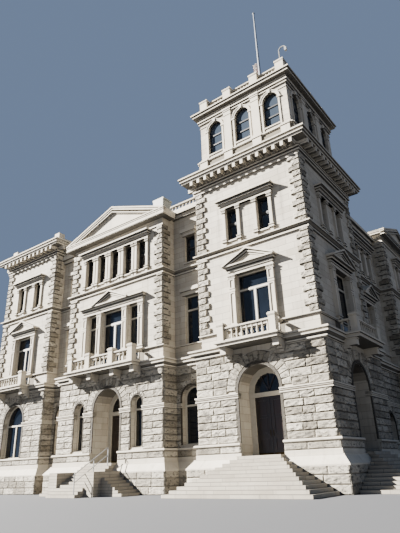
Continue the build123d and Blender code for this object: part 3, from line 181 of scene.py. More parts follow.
@dataclass(frozen=True)
class Opening:
    """A window or doorway, placed by its middle along the wall."""

    u: float
    width: float
    sill: float
    top: float
    arched: bool
    storey: Storey
    bar: float = 0.0
    mullion: bool = False

    @property
    def spring(self) -> float:
        """Height where the opening's arch begins, or its head if it is square."""
        return self.top - self.width / 2 if self.arched else self.top

    @property
    def sides(self) -> Pair:
        """Places of its two sides."""
        return span(self.u, self.width / 2)

    def outline(self, inset: float = 0.0) -> list[Pair]:
        """Draw the opening, or a smaller one inside it.

        Args:
            inset: distance by which every side is drawn in.

        Returns:
            Places along the wall and heights, anticlockwise seen from outside.
        """
        corners = rectangle(self.sides, (self.sill, self.top), inset)
        if not self.arched:
            return corners
        radius = self.width / 2 - inset
        turns = [math.pi * k / ARCH_SIDES for k in range(ARCH_SIDES + 1)]
        return corners[:2] + [(self.u + radius * math.cos(a), self.spring + radius * math.sin(a)) for a in turns]


@dataclass(frozen=True)
class Face:
    """A flat upright face, with its own axes along it, up it and outwards."""

    start: Pair
    end: Pair
    bays: Bays = Bays.PLAIN
    head: float = 0.0

    @property
    def half(self) -> float:
        """Half the length of the face."""
        return math.dist(self.start, self.end) / 2

    @property
    def ends(self) -> Pair:
        """Both ends, measured from the middle."""
        return span(0, self.half)

    @property
    def along(self) -> Vector:
        """Direction to the right, seen from outside."""
        return Vector((self.end[0] - self.start[0], self.end[1] - self.start[1], 0)).normalized()

    @property
    def outward(self) -> Vector:
        """Direction away from the wall."""
        return Vector((self.along.y, -self.along.x, 0))

    @property
    def yaw(self) -> float:
        """Turn about the vertical that brings the X axis along the face."""
        return math.atan2(self.along.y, self.along.x)

    def point(self, u: float, z: float, out: float = 0.0) -> Vector:
        """Point at a place along the face, a height and a distance outwards."""
        middle = Vector(((self.start[0] + self.end[0]) / 2, (self.start[1] + self.end[1]) / 2, z))
        return middle + self.along * u + self.outward * out


def walls_round(corners: Sequence[Pair]) -> list[Face]:
    """Plain faces between the corners of a plan, anticlockwise seen from above."""
    return [Face(corner, corners[(k + 1) % len(corners)]) for k, corner in enumerate(corners)]


def corner_turn(corners: Sequence[Pair], k: int) -> int:
    """Tell whether a plan corner stands out.

    Args:
        corners: the outline, anticlockwise seen from above.
        k: index of the corner.

    Returns:
        1 for a corner that stands out, -1 for one that goes in.
    """
    before, here, after = corners[k - 1], corners[k], corners[(k + 1) % len(corners)]
    cross = (here[0] - before[0]) * (after[1] - here[1]) - (here[1] - before[1]) * (after[0] - here[0])
    return 1 if cross > 0 else -1


def plan_faces() -> list[Face]:
    """Lay out the upper walls, anticlockwise from the tower's shaded side.

    Returns:
        Faces with their bay patterns and the heights where their walls end.
    """
    p, top = PLAN, LEVELS
    near, far = p.front + p.tower, p.back - p.rear
    a = p.right - p.tower
    b = a - p.recess
    c = b - p.centre
    d = c - p.recess
    inner_right, inner_left = p.right - p.set_back, p.left + p.set_back
    recess, forward, rear = p.front + p.set_back, p.front - p.centre_forward, p.left + p.tower
    rows = [
        ((p.right, p.front), Bays.DOOR, top.pavilion), ((p.right, near), Bays.PLAIN, top.pavilion),
        ((inner_right, near), Bays.MIDDLE, top.recess), ((inner_right, far), Bays.PLAIN, top.rear),
        ((p.right, far), Bays.REAR, top.rear), ((p.right, p.back), Bays.REAR, top.rear),
        ((a, p.back), Bays.PLAIN, top.rear), ((a, p.back - p.set_back), Bays.LONG, top.recess),
        ((rear, p.back - p.set_back), Bays.PLAIN, top.rear), ((rear, p.back), Bays.REAR, top.rear),
        ((p.left, p.back), Bays.REAR, top.rear), ((p.left, far), Bays.PLAIN, top.rear),
        ((inner_left, far), Bays.MIDDLE, top.recess), ((inner_left, near), Bays.PLAIN, top.pavilion),
        ((p.left, near), Bays.PAVILION, top.pavilion), ((p.left, p.front), Bays.PAVILION, top.pavilion),
        ((d, p.front), Bays.PLAIN, top.pavilion), ((d, recess), Bays.RECESS, top.recess),
        ((c, recess), Bays.PLAIN, top.centre), ((c, forward), Bays.CENTRE, top.centre),
        ((b, forward), Bays.PLAIN, top.centre), ((b, recess), Bays.RECESS, top.recess),
        ((a, recess), Bays.PLAIN, top.pavilion), ((a, p.front), Bays.DOOR, top.pavilion),
    ]
    walls = walls_round([corner for corner, _, _ in rows])
    return [replace(wall, bays=bays, head=head) for wall, (_, bays, head) in zip(walls, rows)]


def ground_light(u: float, width: float, crown: float) -> Opening:
    """A narrow arched window of the ground storey."""
    return Opening(u, width, LEVELS.low_sill, crown, True, Storey.GROUND, LEVELS.transom)


def second_light(u: float, width: float, mullion: bool = False) -> Opening:
    """A square window of the second storey."""
    return Opening(u, width, LEVELS.ledge, LEVELS.second_head, False, Storey.SECOND, LEVELS.second_bar, mullion)


def third_light(u: float, low: bool = False) -> Opening:
    """A square window of the third storey, with a lower head in the recessed walls."""
    head, bar = (LEVELS.low_head, LEVELS.low_bar) if low else (LEVELS.third_head, LEVELS.third_bar)
    return Opening(u, 0.9, LEVELS.third_sill, head, False, Storey.THIRD, bar)


def openings_by_bays() -> dict[Bays, list[Opening]]:
    """Lay out the openings of every bay pattern.

    Returns:
        Windows and doorways of each pattern, at their places along the wall.
    """
    z, quarters = LEVELS, (-1.5, -0.5, 0.5, 1.5)
    door = Opening(0, PLAN.doorway, z.floor, z.crown, True, Storey.DOOR, z.transom)
    ground = Opening(0, PLAN.doorway, z.base, z.crown, True, Storey.GROUND, z.transom, True)
    upper = [second_light(0, 2.3, True), third_light(-1.17), third_light(1.17)]
    recess = [ground_light(0, 1.5, 6.15), second_light(0, 1.15), third_light(0, True)]
    centre = [door, ground_light(-2.8, 1.0, 5.85), ground_light(2.8, 1.0, 5.85), second_light(-2.125, 1.15),
              second_light(2.125, 1.15), second_light(0, 2.2, True)] + [third_light(1.4 * k) for k in range(-2, 3)]
    middle = [Opening(0, 1.7, z.low_sill, 4.4, True, Storey.GROUND), second_light(0, 1.7, True)]
    return {
        Bays.PLAIN: [], Bays.DOOR: [door] + upper, Bays.PAVILION: [ground] + upper, Bays.REAR: [ground] + upper,
        Bays.RECESS: recess, Bays.CENTRE: centre,
        Bays.MIDDLE: middle + [third_light(1.3 * k, True) for k in quarters],
        Bays.LONG: [replace(one, u=3.3 * k) for k in quarters for one in recess],
    }


FACES = plan_faces()
CORNERS = [face.start for face in FACES]
OPENINGS = openings_by_bays()
REAR_GABLES = (FACES[4], FACES[10])
BALCONIES = {FACES[0]: 3.9, FACES[14]: 3.9, FACES[15]: 3.9, FACES[19]: 6.5, FACES[23]: 3.9}
DOORWAYS = {"tower": (FACES[23], 1.0), "centre": (FACES[19], 1.3), "tower_side": (FACES[0], 1.0)}
BELFRY_WALLS = walls_round(rectangle(*(span(middle, PLAN.belfry_half) for middle in PLAN.tower_middle)))
BELFRY_LIGHTS = [Opening(2.3 * k, 1.18, LEVELS.belfry_sill, LEVELS.belfry_crown, True, Storey.BELFRY)
                 for k in (-1, 0, 1)]


def gaps(ends: Pair, taken: Sequence[Pair]) -> list[Pair]:
    """Find what is left of a length.

    Args:
        ends: the whole length.
        taken: the stretches that are taken.

    Returns:
        The stretches between them.
    """
    edges = [ends[0]] + [edge for stretch in sorted(taken) for edge in stretch] + [ends[1]]
    return list(zip(edges[::2], edges[1::2]))


# Mesh drafting

class Draft:
    """Closed solids gathered for one mesh."""

    def __init__(self) -> None:
        """Start with no solids."""
        self.points: list[Vector] = []
        self.faces: list[list[int]] = []

    def solid(self, first: Sequence[Vector], second: Sequence[Vector]) -> None:
        """Add a closed solid between two like outlines.

        Args:
            first: outline that turns anticlockwise seen from outside its own end.
            second: matching outline of the other end.
        """
        count, start = len(first), len(self.points)
        self.points += list(first) + list(second)
        self.faces.append([start + k for k in range(count)])
        self.faces.append([start + count + k for k in reversed(range(count))])
        for k in range(count):
            after = (k + 1) % count
            self.faces.append([start + count + k, start + count + after, start + after, start + k])

    def plate(self, face: Face, outline: Sequence[Pair], out: Pair) -> None:
        """Add a flat plate on a face.

        Args:
            face: the face it is drawn on.
            outline: places and heights, in order either way round.
            out: distances outwards of its back and front.
        """
        area = sum(a[0] * b[1] - b[0] * a[1] for a, b in zip(outline, [*outline[1:], outline[0]]))
        turned = outline if area > 0 else outline[::-1]
        self.solid([face.point(u, z, out[1]) for u, z in turned], [face.point(u, z, out[0]) for u, z in turned])

    def bar(self, face: Face, u: Pair, z: Pair, out: Pair) -> None:
        """Add a block from ranges along a face, up it and outwards."""
        self.plate(face, rectangle(sorted(u), sorted(z)), out)

    def ring(self, face: Face, outer: Sequence[Pair], inner: Sequence[Pair], out: Pair) -> None:
        """Add a frame between two outlines of as many corners.

        Args:
            face: the face it is drawn on.
            outer: outer corners, anticlockwise seen from outside.
            inner: inner corners, matching them.
            out: distances outwards of its back and front.
        """
        count, start = len(outer), len(self.points)
        for distance in reversed(out):
            self.points += [face.point(u, z, distance) for u, z in [*outer, *inner]]
        for k in range(count):
            m = (k + 1) % count
            o, i, ob, ib = start, start + count, start + 2 * count, start + 3 * count
            self.faces += [[o + k, o + m, i + m, i + k], [ob + m, ob + k, ib + k, ib + m],
                           [ob + k, ob + m, o + m, o + k], [i + k, i + m, ib + m, ib + k]]

    def border(self, face: Face, u: Pair, z: Pair, wide: float, out: Pair) -> None:
        """Add a square frame inside ranges along a face and up it."""
        self.ring(face, rectangle(u, z), rectangle(u, z, wide), out)

    def arch(self, face: Face, centre: Pair, radii: Pair, out: Pair, sides: int = ARCH_SIDES) -> None:
        """Add a half ring over an arch, made of short wedges.

        Args:
            face: the face it is drawn on.
            centre: place and height of the arch's centre.
            radii: inner and outer radius.
            out: distances outwards of its back and front.
            sides: wedges in it.
        """
        for k in range(sides):
            a, b = math.pi * k / sides, math.pi * (k + 1) / sides
            spots = ((radii[0], a), (radii[1], a), (radii[1], b), (radii[0], b))
            self.plate(face, [(centre[0] + r * math.cos(t), centre[1] + r * math.sin(t)) for r, t in spots], out)

    def slopes(self, face: Face, half: float, z: Pair, deep: float, out: Pair) -> None:
        """Add the two sloping bars of a gable.

        Args:
            face: the face they are drawn on.
            half: half the gable's width.
            z: heights of their tops at the eaves and at the ridge.
            deep: their depth, measured upright.
            out: distances outwards of their backs and fronts.
        """
        for end in (-half, half):
            self.plate(face, [(end, z[0]), (0, z[1]), (0, z[1] - deep), (end, z[0] - deep)], out)

    def sweep(self, corners: Sequence[Pair], profile: Sequence[Pair],
              lengths: dict[int, list[Pair]] | None = None) -> None:
        """Add a moulding round a plan outline, mitred at its corners.

        Args:
            corners: the outline, anticlockwise seen from above.
            profile: closed profile of (projection, height), anticlockwise with the projection to the right.
            lengths: for some sides, the stretches that it covers, measured from the side's middle.
        """
        for k, face in enumerate(walls_round(corners)):
            turns = -corner_turn(corners, k), corner_turn(corners, (k + 1) % len(corners))
            for stretch in (lengths or {}).get(k, [face.ends]):
                rings = []
                for place, turn in zip(stretch, turns):
                    mitre = turn if abs(abs(place) - face.half) < 1e-6 else 0
                    rings.append([face.point(place + mitre * out, z, out) for out, z in profile])
                self.solid(*rings)

    def finish(self, name: str, finish: "Finish", slot: str, body: str = BUILDING,
               stands_for: Sequence[str] = ()) -> None:
        """Turn the draft into a finished piece.

        Args:
            name: name of the piece.
            finish: its finish.
            slot: the record's material slot; not used.
            body: the CAD body it moves with.
            stands_for: CAD nodes that it replaces.
        """
        mesh = bpy.data.meshes.new(name)
        mesh.from_pydata([tuple(p) for p in self.points], [], self.faces)
        mesh.validate()
        mesh.update()
        mesh.materials.append(finish.material())
        dress(linked(mesh), body, stands_for)


def linked(mesh: bpy.types.Mesh) -> bpy.types.Object:
    """Put a mesh in the scene as an object of its name."""
    thing = bpy.data.objects.new(mesh.name, mesh)
    bpy.context.scene.collection.objects.link(thing)
    return thing


def dress(thing: bpy.types.Object, body: str = BUILDING, stands_for: Sequence[str] = ()) -> None:
    """Tie a finished piece to its body and hide the nodes it stands for.

    Args:
        thing: the piece.
        body: the CAD body it moves with.
        stands_for: CAD nodes that it replaces.
    """
    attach(thing, body)
    if stands_for:
        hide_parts(*stands_for)
    thing.data.calc_loop_triangles()
    LOG.info("%s: %d triangles", thing.name, len(thing.data.loop_triangles))


# Finishes

def linear(code: str) -> tuple[float, float, float, float]:
    """Turn an sRGB hex value into a linear colour.

    Args:
        code: the value, such as "#BBB4A6".

    Returns:
        Red, green, blue and an alpha of 1.
    """
    parts = [int(code[k:k + 2], 16) / 255 for k in (1, 3, 5)]
    levels = [v / 12.92 if v <= 0.04045 else ((v + 0.055) / 1.055) ** 2.4 for v in parts]
    return levels[0], levels[1], levels[2], 1.0


class Graph:
    """A node tree, with a short way to add each sort of node and get the socket that carries its result."""

    def __init__(self, tree: bpy.types.NodeTree) -> None:
        """Keep the tree."""
        self.tree = tree

    def add(self, kind: str, inputs: dict | None = None, **settings: object) -> bpy.types.Node:
        """Add a node with its settings, values and links.

        Args:
            kind: the node's type.
            inputs: for each input, by name or index, a value or the socket that feeds it.
            settings: the node's own properties.

        Returns:
            The node.
        """
        made = self.tree.nodes.new(kind)
        for name, value in settings.items():
            setattr(made, name, value)
        for key, value in (inputs or {}).items():
            if isinstance(value, Socket):
                self.tree.links.new(value, made.inputs[key])
            else:
                made.inputs[key].default_value = value
        return made

    def place(self) -> Socket:
        """Object coordinates."""
        return self.add("ShaderNodeTexCoord").outputs["Object"]

    def part(self, vector: Socket, axis: str) -> Socket:
        """One part of a vector: X, Y or Z."""
        return self.add("ShaderNodeSeparateXYZ", {"Vector": vector}).outputs[axis]

    def stretch(self, vector: Socket, scale: Triple) -> Socket:
        """A vector scaled along each axis."""
        return self.add("ShaderNodeMapping", {"Vector": vector, "Scale": scale}).outputs["Vector"]

    def math(self, operation: str, *values: Socket | float) -> Socket:
        """A sum of values and sockets."""
        return self.add("ShaderNodeMath", dict(enumerate(values)), operation=operation).outputs[0]

    def noise(self, place: Socket, scale: float, detail: float = 2.0, rough: float = 0.5,
              bend: float = 0.0) -> Socket:
        """Noise with so many lumps a metre, layers of finer detail, roughness and distortion."""
        return self.add("ShaderNodeTexNoise", {"Vector": place, "Scale": scale, "Detail": detail,
                                               "Roughness": rough, "Distortion": bend}).outputs["Fac"]

    def ramp(self, value: Socket, low: float, high: float, most: float = 1.0) -> Socket:
        """Rise from 0 where a value is low to the most where it is high."""
        return self.add("ShaderNodeMapRange", {"Value": value, "From Min": low, "From Max": high,
                                               "To Max": most}).outputs["Result"]

    def mix(self, share: Socket, first: Socket | str, second: Socket | str) -> Socket:
        """Colour between two, each a socket or an sRGB hex value."""
        ends = [linear(end) if isinstance(end, str) else end for end in (first, second)]
        return self.add("ShaderNodeMix", {"Factor": share, 6: ends[0], 7: ends[1]}, data_type="RGBA").outputs[2]

    def bump(self, height: Socket, strength: float, distance: float) -> Socket:
        """Normal of a relief."""
        return self.add("ShaderNodeBump", {"Height": height, "Strength": strength,
                                           "Distance": distance}).outputs["Normal"]

    def named(self, name: str, kind: str = "FLOAT_VECTOR") -> Socket:
        """A named attribute of a geometry."""
        node = self.add("GeometryNodeInputNamedAttribute", {"Name": name}, data_type=kind)
        return next(s for s in node.outputs if s.name == "Attribute" and s.enabled)


@dataclass(frozen=True)
class Finish:
    """A surface finish, built once as a material of its name."""

    name: str

    def material(self) -> bpy.types.Material:
        """Make the material, or find it if it is there.

        Returns:
            The material of this finish.
        """
        made = bpy.data.materials.get(self.name)
        if not made:
            made = bpy.data.materials.new(self.name)
            made.use_nodes = True
            made.node_tree.nodes.clear()
            graph = Graph(made.node_tree)
            shader = graph.add("ShaderNodeBsdfPrincipled", self.surface(graph))
            graph.add("ShaderNodeOutputMaterial", {"Surface": shader.outputs["BSDF"]})
        return made

    def surface(self, g: Graph) -> dict[str, object]:
        """Inputs of the shader: its colour, gloss and relief."""
        raise NotImplementedError


@dataclass(frozen=True)
class Granite(Finish):
    """Pale biotite granite: cream feldspar with black mica, matt, paler where it is tooled smooth.

    Patches of tone a metre or so across come from weather, the specks are mica of 2 to 5 mm, drawn at 30 mm
    so that they show, and rain has left faint grey runs down the faces. Every underside is painted dark, as
    painted shade under the projections. Where the face is left rough from the hammer, the hollows of 0.1 to
    0.2 m between the spalls are painted dark, as painted shade. The treads of steps are painted darker than
    their risers, as painted shade.
    """

    pale: str = "#BBB4A6"
    dark: str = "#877F71"
    # Dark tone of the rain runs and the joints, and of the painted shade on step treads.
    soot_and_shade: str = "#524F49"
    # Near-black of the painted shade on undersides and in the hollows of rough faces.
    black: str = "#232221"
    # How strongly downward faces are darkened as painted shade.
    underside_shade: float = 0.88
    courses: float = 0.0
    block: float = 1.05
    joint: float = 0.016
    relief: float = 0.006
    grain: float = 0.03
    stones: bool = False
    # How strongly the hollows of rough faces are darkened as painted shade.
    pit_shade: float = 0.0
    # How strongly upward faces, the steps' treads, are darkened as painted shade.
    tread_shade: float = 0.0

    def bond(self, g: Graph, place: Socket) -> bpy.types.Node:
        """Draw the courses and joints of tooled blocks.

        Args:
            g: the material's graph.
            place: its coordinates.

        Returns:
            A brick node, whose Color is each block's tone and whose Fac is the joints.
        """
        across = g.math("ADD", g.part(place, "X"), g.part(place, "Y"))
        flat = g.add("ShaderNodeCombineXYZ", {"X": across, "Y": g.part(place, "Z")}).outputs["Vector"]
        return g.add("ShaderNodeTexBrick",
                     {"Vector": flat, "Color1": (0, 0, 0, 1), "Color2": (1, 1, 1, 1),
                      "Mortar": (0.5, 0.5, 0.5, 1), "Scale": 1.0, "Mortar Size": self.joint / 2,
                      "Mortar Smooth": 0.2, "Bias": 0.0, "Brick Width": self.block, "Row Height": self.courses},
                     offset=0.5)

    def surface(self, g: Graph) -> dict[str, object]:
        """Layer block tones, mica, rain runs, painted shade on undersides, treads and hollows, and joints.

        Args:
            g: the material's graph.

        Returns:
            Inputs of the shader.
        """
        place = g.place()
        height = mica = g.noise(place, 1 / self.grain, 3.0, 0.7)
        tone = g.math("MULTIPLY", g.noise(place, 0.7, 5.0, 0.6), 0.62)
        tone = g.math("MULTIPLY_ADD", mica, 0.30, tone)
        if self.stones:
            own = g.add("ShaderNodeAttribute", attribute_name="tone").outputs["Fac"]
            tone = g.math("MULTIPLY_ADD", own, 0.42, tone)
        if self.courses:
            bond = self.bond(g, place).outputs
            tone = g.math("MULTIPLY_ADD", bond["Color"], 0.22, tone)
            height = g.math("MULTIPLY_ADD", bond["Fac"], -1.6, mica)
        colour = g.mix(g.ramp(tone, 0.25, 0.95), self.pale, self.dark)
        runs = g.noise(g.stretch(place, (3.2, 3.2, 0.16)), 1.0, 4.0)
        colour = g.mix(g.ramp(runs, 0.56, 0.80, 0.38), colour, self.soot_and_shade)
        upright = g.part(g.add("ShaderNodeNewGeometry").outputs["Normal"], "Z")
        # Painted shade: every downward face is mixed towards near-black, so that undersides read dark.
        colour = g.mix(g.ramp(upright, -0.25, -0.85, self.underside_shade), colour, self.black)
        # Painted shade: upward faces, the steps' treads, are mixed towards the dark tone so that they part from the
        # risers.
        if self.tread_shade:
            colour = g.mix(g.ramp(upright, 0.7, 0.95, self.tread_shade), colour, self.soot_and_shade)
        if self.pit_shade:
            broken = g.noise(g.stretch(place, (4.5, 4.5, 9.0)), 1.0, 5.0, 0.68)
            # Painted shade: the hollows of the broken noise are mixed towards near-black; the same noise also sinks
            # them in the bump.
            colour = g.mix(g.ramp(broken, 0.51, 0.63, self.pit_shade), colour, self.black)
            height = g.math("MULTIPLY_ADD", broken, -3.0, height)
        if self.courses:
            colour = g.mix(g.math("MULTIPLY", bond["Fac"], 0.75), colour, self.soot_and_shade)
        return {"Base Color": colour, "Normal": g.bump(height, 0.6, self.relief), "Roughness": 0.82,
                "Specular IOR Level": 0.35}


@dataclass(frozen=True)
class SheetGlass(Finish):
    """Soda-lime sheet glass: near black before dark rooms, with sharp reflections and waves about 0.4 m long.

    In the belfry, where light comes in from all sides, the panes are painted grey instead, as painted light.
    """

    deep: str = "#06080B"
    painted_sheen: str = "#151B24"
    painted_belfry_light: str = "#2F363F"
    open_height: float = 21.0

    def surface(self, g: Graph) -> dict[str, object]:
        """Dark body with patches of painted sheen and slight waves, painted paler high up as painted light.

        Args:
            g: the material's graph.

        Returns:
            Inputs of the shader.
        """
        place = g.place()
        # Painted sheen: the body colour is mixed in patches towards a paler blue-grey.
        body = g.mix(g.noise(place, 0.8), self.deep, self.painted_sheen)
        # Painted light: above the open height the panes are painted grey, for the light that comes through the
        # belfry.
        body = g.mix(g.math("GREATER_THAN", g.part(place, "Z"), self.open_height), body, self.painted_belfry_light)
        return {"Base Color": body, "Normal": g.bump(g.noise(place, 2.4, 1.0), 0.25, 0.01), "Roughness": 0.06,
                "IOR": 1.52}


@dataclass(frozen=True)
class VarnishedOak(Finish):
    """Quarter-sawn oak, stained dark and varnished: upright grain lines about 8 mm apart, drawn at 40 mm."""

    dark: str = "#0C0705"
    light: str = "#1E120D"
    gloss: float = 0.34

    def surface(self, g: Graph) -> dict[str, object]:
        """Upright grain with slow changes of tone under the varnish."""
        grain = g.noise(g.stretch(g.place(), (25.0, 25.0, 1.1)), 1.0, 4.0, bend=0.4)
        return {"Base Color": g.mix(grain, self.dark, self.light), "Normal": g.bump(grain, 0.3, 0.002),
                "Roughness": self.gloss, "Coat Weight": 0.25}


@dataclass(frozen=True)
class JoineryPaint(Finish):
    """Oil paint on joinery: cream on the two lower storeys, dark umber above, worn a little at random."""

    pale: str = "#ACA698"
    dark: str = "#12100E"
    dirt: str = "#6E675A"
    grime: float = 0.3
    change: float = 13.4

    def surface(self, g: Graph) -> dict[str, object]:
        """Cream below the height where the colour changes, umber above it, with dirt on both.

        Args:
            g: the material's graph.

        Returns:
            Inputs of the shader.
        """
        place = g.place()
        above = g.math("GREATER_THAN", g.part(place, "Z"), self.change)
        dirty = g.ramp(g.noise(place, 6.0, 4.0), 0.45, 0.8, self.grime)
        return {"Base Color": g.mix(dirty, g.mix(above, self.pale, self.dark), self.dirt), "Roughness": 0.5}


@dataclass(frozen=True)
class PaintedSteel(Finish):
    """Gloss paint on steel: smooth, with a faint orange-peel of about 10 mm and dust in patches."""

    colour: str
    dust: str
    gloss: float = 0.35
    metal: float = 0.0

    def surface(self, g: Graph) -> dict[str, object]:
        """Even coat with patches of dust.

        Args:
            g: the material's graph.

        Returns:
            Inputs of the shader.
        """
        place = g.place()
        coat = g.mix(g.noise(place, 3.0, 4.0), self.colour, self.dust)
        return {"Base Color": coat, "Normal": g.bump(g.noise(place, 100.0), 0.1, 0.001),
                "Roughness": self.gloss, "Metallic": self.metal}


@dataclass(frozen=True)
class StripedNylon(Finish):
    """Woven nylon bunting: red and white stripes sewn edge to edge, with a plain blue canton, soft sheen.

    The stripes follow the cloth's own UV map, where V runs from stripe to stripe and U along them. The weave
    of 0.5 mm is drawn at 12 mm.
    """

    red: str = "#8A1522"
    white: str = "#B9B6B1"
    blue: str = "#18234A"
    stripes: int = 13
    canton: Pair = (0.4, 6 / 13)
    threads: float = 200.0

    def surface(self, g: Graph) -> dict[str, object]:
        """Stripes by V, canton by both, and the weave.

        Args:
            g: the material's graph.

        Returns:
            Inputs of the shader.
        """
        uv = g.add("ShaderNodeUVMap", uv_map="cloth").outputs["UV"]
        along, across = g.part(uv, "X"), g.part(uv, "Y")
        pair = g.math("FLOORED_MODULO", g.math("MULTIPLY", across, float(self.stripes)), 2.0)
        cloth = g.mix(g.math("GREATER_THAN", pair, 1.0), self.red, self.white)
        corner = g.math("MULTIPLY", g.math("LESS_THAN", along, self.canton[0]),
                        g.math("GREATER_THAN", across, self.canton[1]))
        weave = g.add("ShaderNodeTexChecker", {"Vector": uv, "Scale": self.threads}).outputs["Fac"]
        return {"Base Color": g.mix(corner, cloth, self.blue), "Normal": g.bump(weave, 0.2, 0.001),
                "Roughness": 0.7, "Sheen Weight": 0.3}


@dataclass(frozen=True)
class PlainGround(Finish):
    """Smooth pale floor of the studio, matt."""

    colour: str = "#3F4043"

    def surface(self, g: Graph) -> dict[str, object]:
        """One even tone."""
        return {"Base Color": linear(self.colour), "Roughness": 0.95}


ASHLAR = Granite("tooled_granite_ashlar", courses=0.402)
TOOLED = Granite("tooled_granite_plain")
# Rock-faced granite, with painted shade in the hollows of its faces.
ROCK = Granite("rock_faced_granite", pale="#BDB6A7", dark="#655E51", grain=0.045, relief=0.035, stones=True,
               pit_shade=0.80)
# Near-black arris: painted shade on the rim inside each ground-storey arch.
RIM_SHADE = Granite("rock_faced_arris", pale="#474136", dark="#211D18", grain=0.06, relief=0.03, pit_shade=0.7)
# Step granite: its treads are painted darker than its risers, as painted shade.
STEP = Granite("worn_step_granite", pale="#A59E90", dark="#736B5E", courses=LEVELS.floor / 11, block=1.6,
               joint=0.022, tread_shade=0.5)
# Dark granite plates that stand for shade: painted shade behind the balcony balusters and on the belfry plinth.
SHADE_PLATE = Granite("soiled_granite", pale="#6B6456", dark="#454037")
MORTAR = Granite("lime_mortar", pale="#857E71", dark="#625B4F", grain=0.01)
PAVING = Granite("sawn_floor_stone", pale="#7F7C74", dark="#605D57")
GLASS = SheetGlass("old_sheet_glass")
OAK = VarnishedOak("varnished_oak")
PANEL_OAK = VarnishedOak("varnished_oak_panels", dark="#0F0705", light="#20100C")
PAINT = JoineryPaint("joinery_oil_paint")
SASH = JoineryPaint("dark_sash_paint", change=-1.0, grime=0.04)
POLE = PaintedSteel("grey_painted_steel", "#6F757E", "#595D64")
LAMP = PaintedSteel("pale_painted_iron", "#8F908E", "#6C6B67")
RAIL = PaintedSteel("brushed_steel", "#8C8E91", "#8D8F90", gloss=0.4, metal=1.0)
ROOF = PaintedSteel("grey_roofing_sheet", "#6C706E", "#565956", gloss=0.55)
CLOTH = StripedNylon("striped_nylon")
BRASS = PaintedSteel("aged_brass", "#4E3F24", "#2F2717", gloss=0.5, metal=1.0)
FLOOR = PlainGround("studio_floor")


# Pieces that Geometry Nodes lay

@dataclass(frozen=True)
class Stone:
    """One stone or member to be laid: its middle, size, turn, outward direction and own tone."""

    place: Vector
    size: Vector
    turn: Triple
    outward: Vector
    tone: float


def laying_tree() -> bpy.types.NodeTree:
    """Build the node group that lays a unit piece on points, or find it if it is there.

    Returns:
        A tree with inputs Geometry, Unit, Relief, Lump, Seed and Finish.
    """
    tree = bpy.data.node_groups.get("laid_pieces")
    if tree:
        return tree
    tree = bpy.data.node_groups.new("laid_pieces", "GeometryNodeTree")
    for name, kind in (("Geometry", "Geometry"), ("Unit", "Object"), ("Relief", "Float"), ("Lump", "Float"),
                       ("Seed", "Int"), ("Finish", "Material")):
        tree.interface.new_socket(name=name, in_out="INPUT", socket_type="NodeSocket" + kind)
    tree.interface.new_socket(name="Geometry", in_out="OUTPUT", socket_type="NodeSocketGeometry")
    g = Graph(tree)
    given = g.add("NodeGroupInput").outputs
    unit = g.add("GeometryNodeObjectInfo", {"Object": given["Unit"]}, transform_space="ORIGINAL")
    turned = g.add("FunctionNodeEulerToRotation", {0: g.named("turn")})
    laid = g.add("GeometryNodeInstanceOnPoints", {
        "Points": given["Geometry"], "Instance": unit.outputs["Geometry"], "Rotation": turned.outputs[0],
        "Scale": g.named("size")})
    whole = g.add("GeometryNodeRealizeInstances", {"Geometry": laid.outputs["Instances"]})
    lumps = g.add("ShaderNodeTexNoise", {"W": given["Seed"], "Scale": given["Lump"], "Detail": 2.0},
                  noise_dimensions="4D")
    rough = g.math("MULTIPLY", g.math("SUBTRACT", lumps.outputs["Fac"], 0.5), g.named("rough", "FLOAT"))
    push = g.add("ShaderNodeVectorMath", {0: g.named("outward"),
                                          "Scale": g.math("MULTIPLY", rough, given["Relief"])}, operation="SCALE")
    broken = g.add("GeometryNodeSetPosition", {"Geometry": whole.outputs["Geometry"],
                                               "Offset": push.outputs["Vector"]})
    finished = g.add("GeometryNodeSetMaterial", {"Geometry": broken.outputs["Geometry"],
                                                 "Material": given["Finish"]})
    g.add("NodeGroupOutput", {0: finished.outputs["Geometry"]})
    return tree


def lay(name: str, stones: Sequence[Stone], unit: bpy.types.Object, finish: Finish, relief: float = 0.0,
        smooth: bool = False, stands_for: Sequence[str] = ()) -> None:
    """Lay a unit piece at every stone's place and make the copies one granite mesh.

    Args:
        name: name of the piece.
        stones: the places, sizes and turns.
        unit: the piece that is repeated.
        finish: the finish of the whole.
        relief: height of the broken surface's lumps.
        smooth: whether the faces are shaded smooth.
        stands_for: CAD nodes that the piece replaces.
    """
    cloud = bpy.data.meshes.new(name)
    cloud.from_pydata([tuple(s.place) for s in stones], [], [])
    for label, values in (("size", [s.size for s in stones]), ("turn", [s.turn for s in stones]),
                          ("outward", [s.outward for s in stones])):
        data = cloud.attributes.new(label, "FLOAT_VECTOR", "POINT").data
        data.foreach_set("vector", [v for one in values for v in one])
    cloud.attributes.new("tone", "FLOAT", "POINT").data.foreach_set("value", [s.tone for s in stones])
    thing = linked(cloud)
    modifier = thing.modifiers.new("laid", "NODES")
    modifier.node_group = laying_tree()
    values = {"Unit": unit, "Relief": relief, "Lump": LUMPS_A_METRE, "Seed": RELIEF_SEED,
              "Finish": finish.material()}
    for item in modifier.node_group.interface.items_tree:
        if item.in_out == "INPUT" and item.name in values:
            modifier[item.identifier] = values[item.name]
    graph = bpy.context.evaluated_depsgraph_get()
    mesh = bpy.data.meshes.new_from_object(thing.evaluated_get(graph), preserve_all_data_layers=True,
                                           depsgraph=graph)
    thing.modifiers.clear()
    thing.data = mesh
    mesh.name = name
    bpy.data.meshes.remove(cloud)
    mesh.polygons.foreach_set("use_smooth", [smooth] * len(mesh.polygons))
    for label in ("size", "turn", "outward", "rough"):
        if label in mesh.attributes:
            mesh.attributes.remove(mesh.attributes[label])
    dress(thing, stands_for=stands_for)


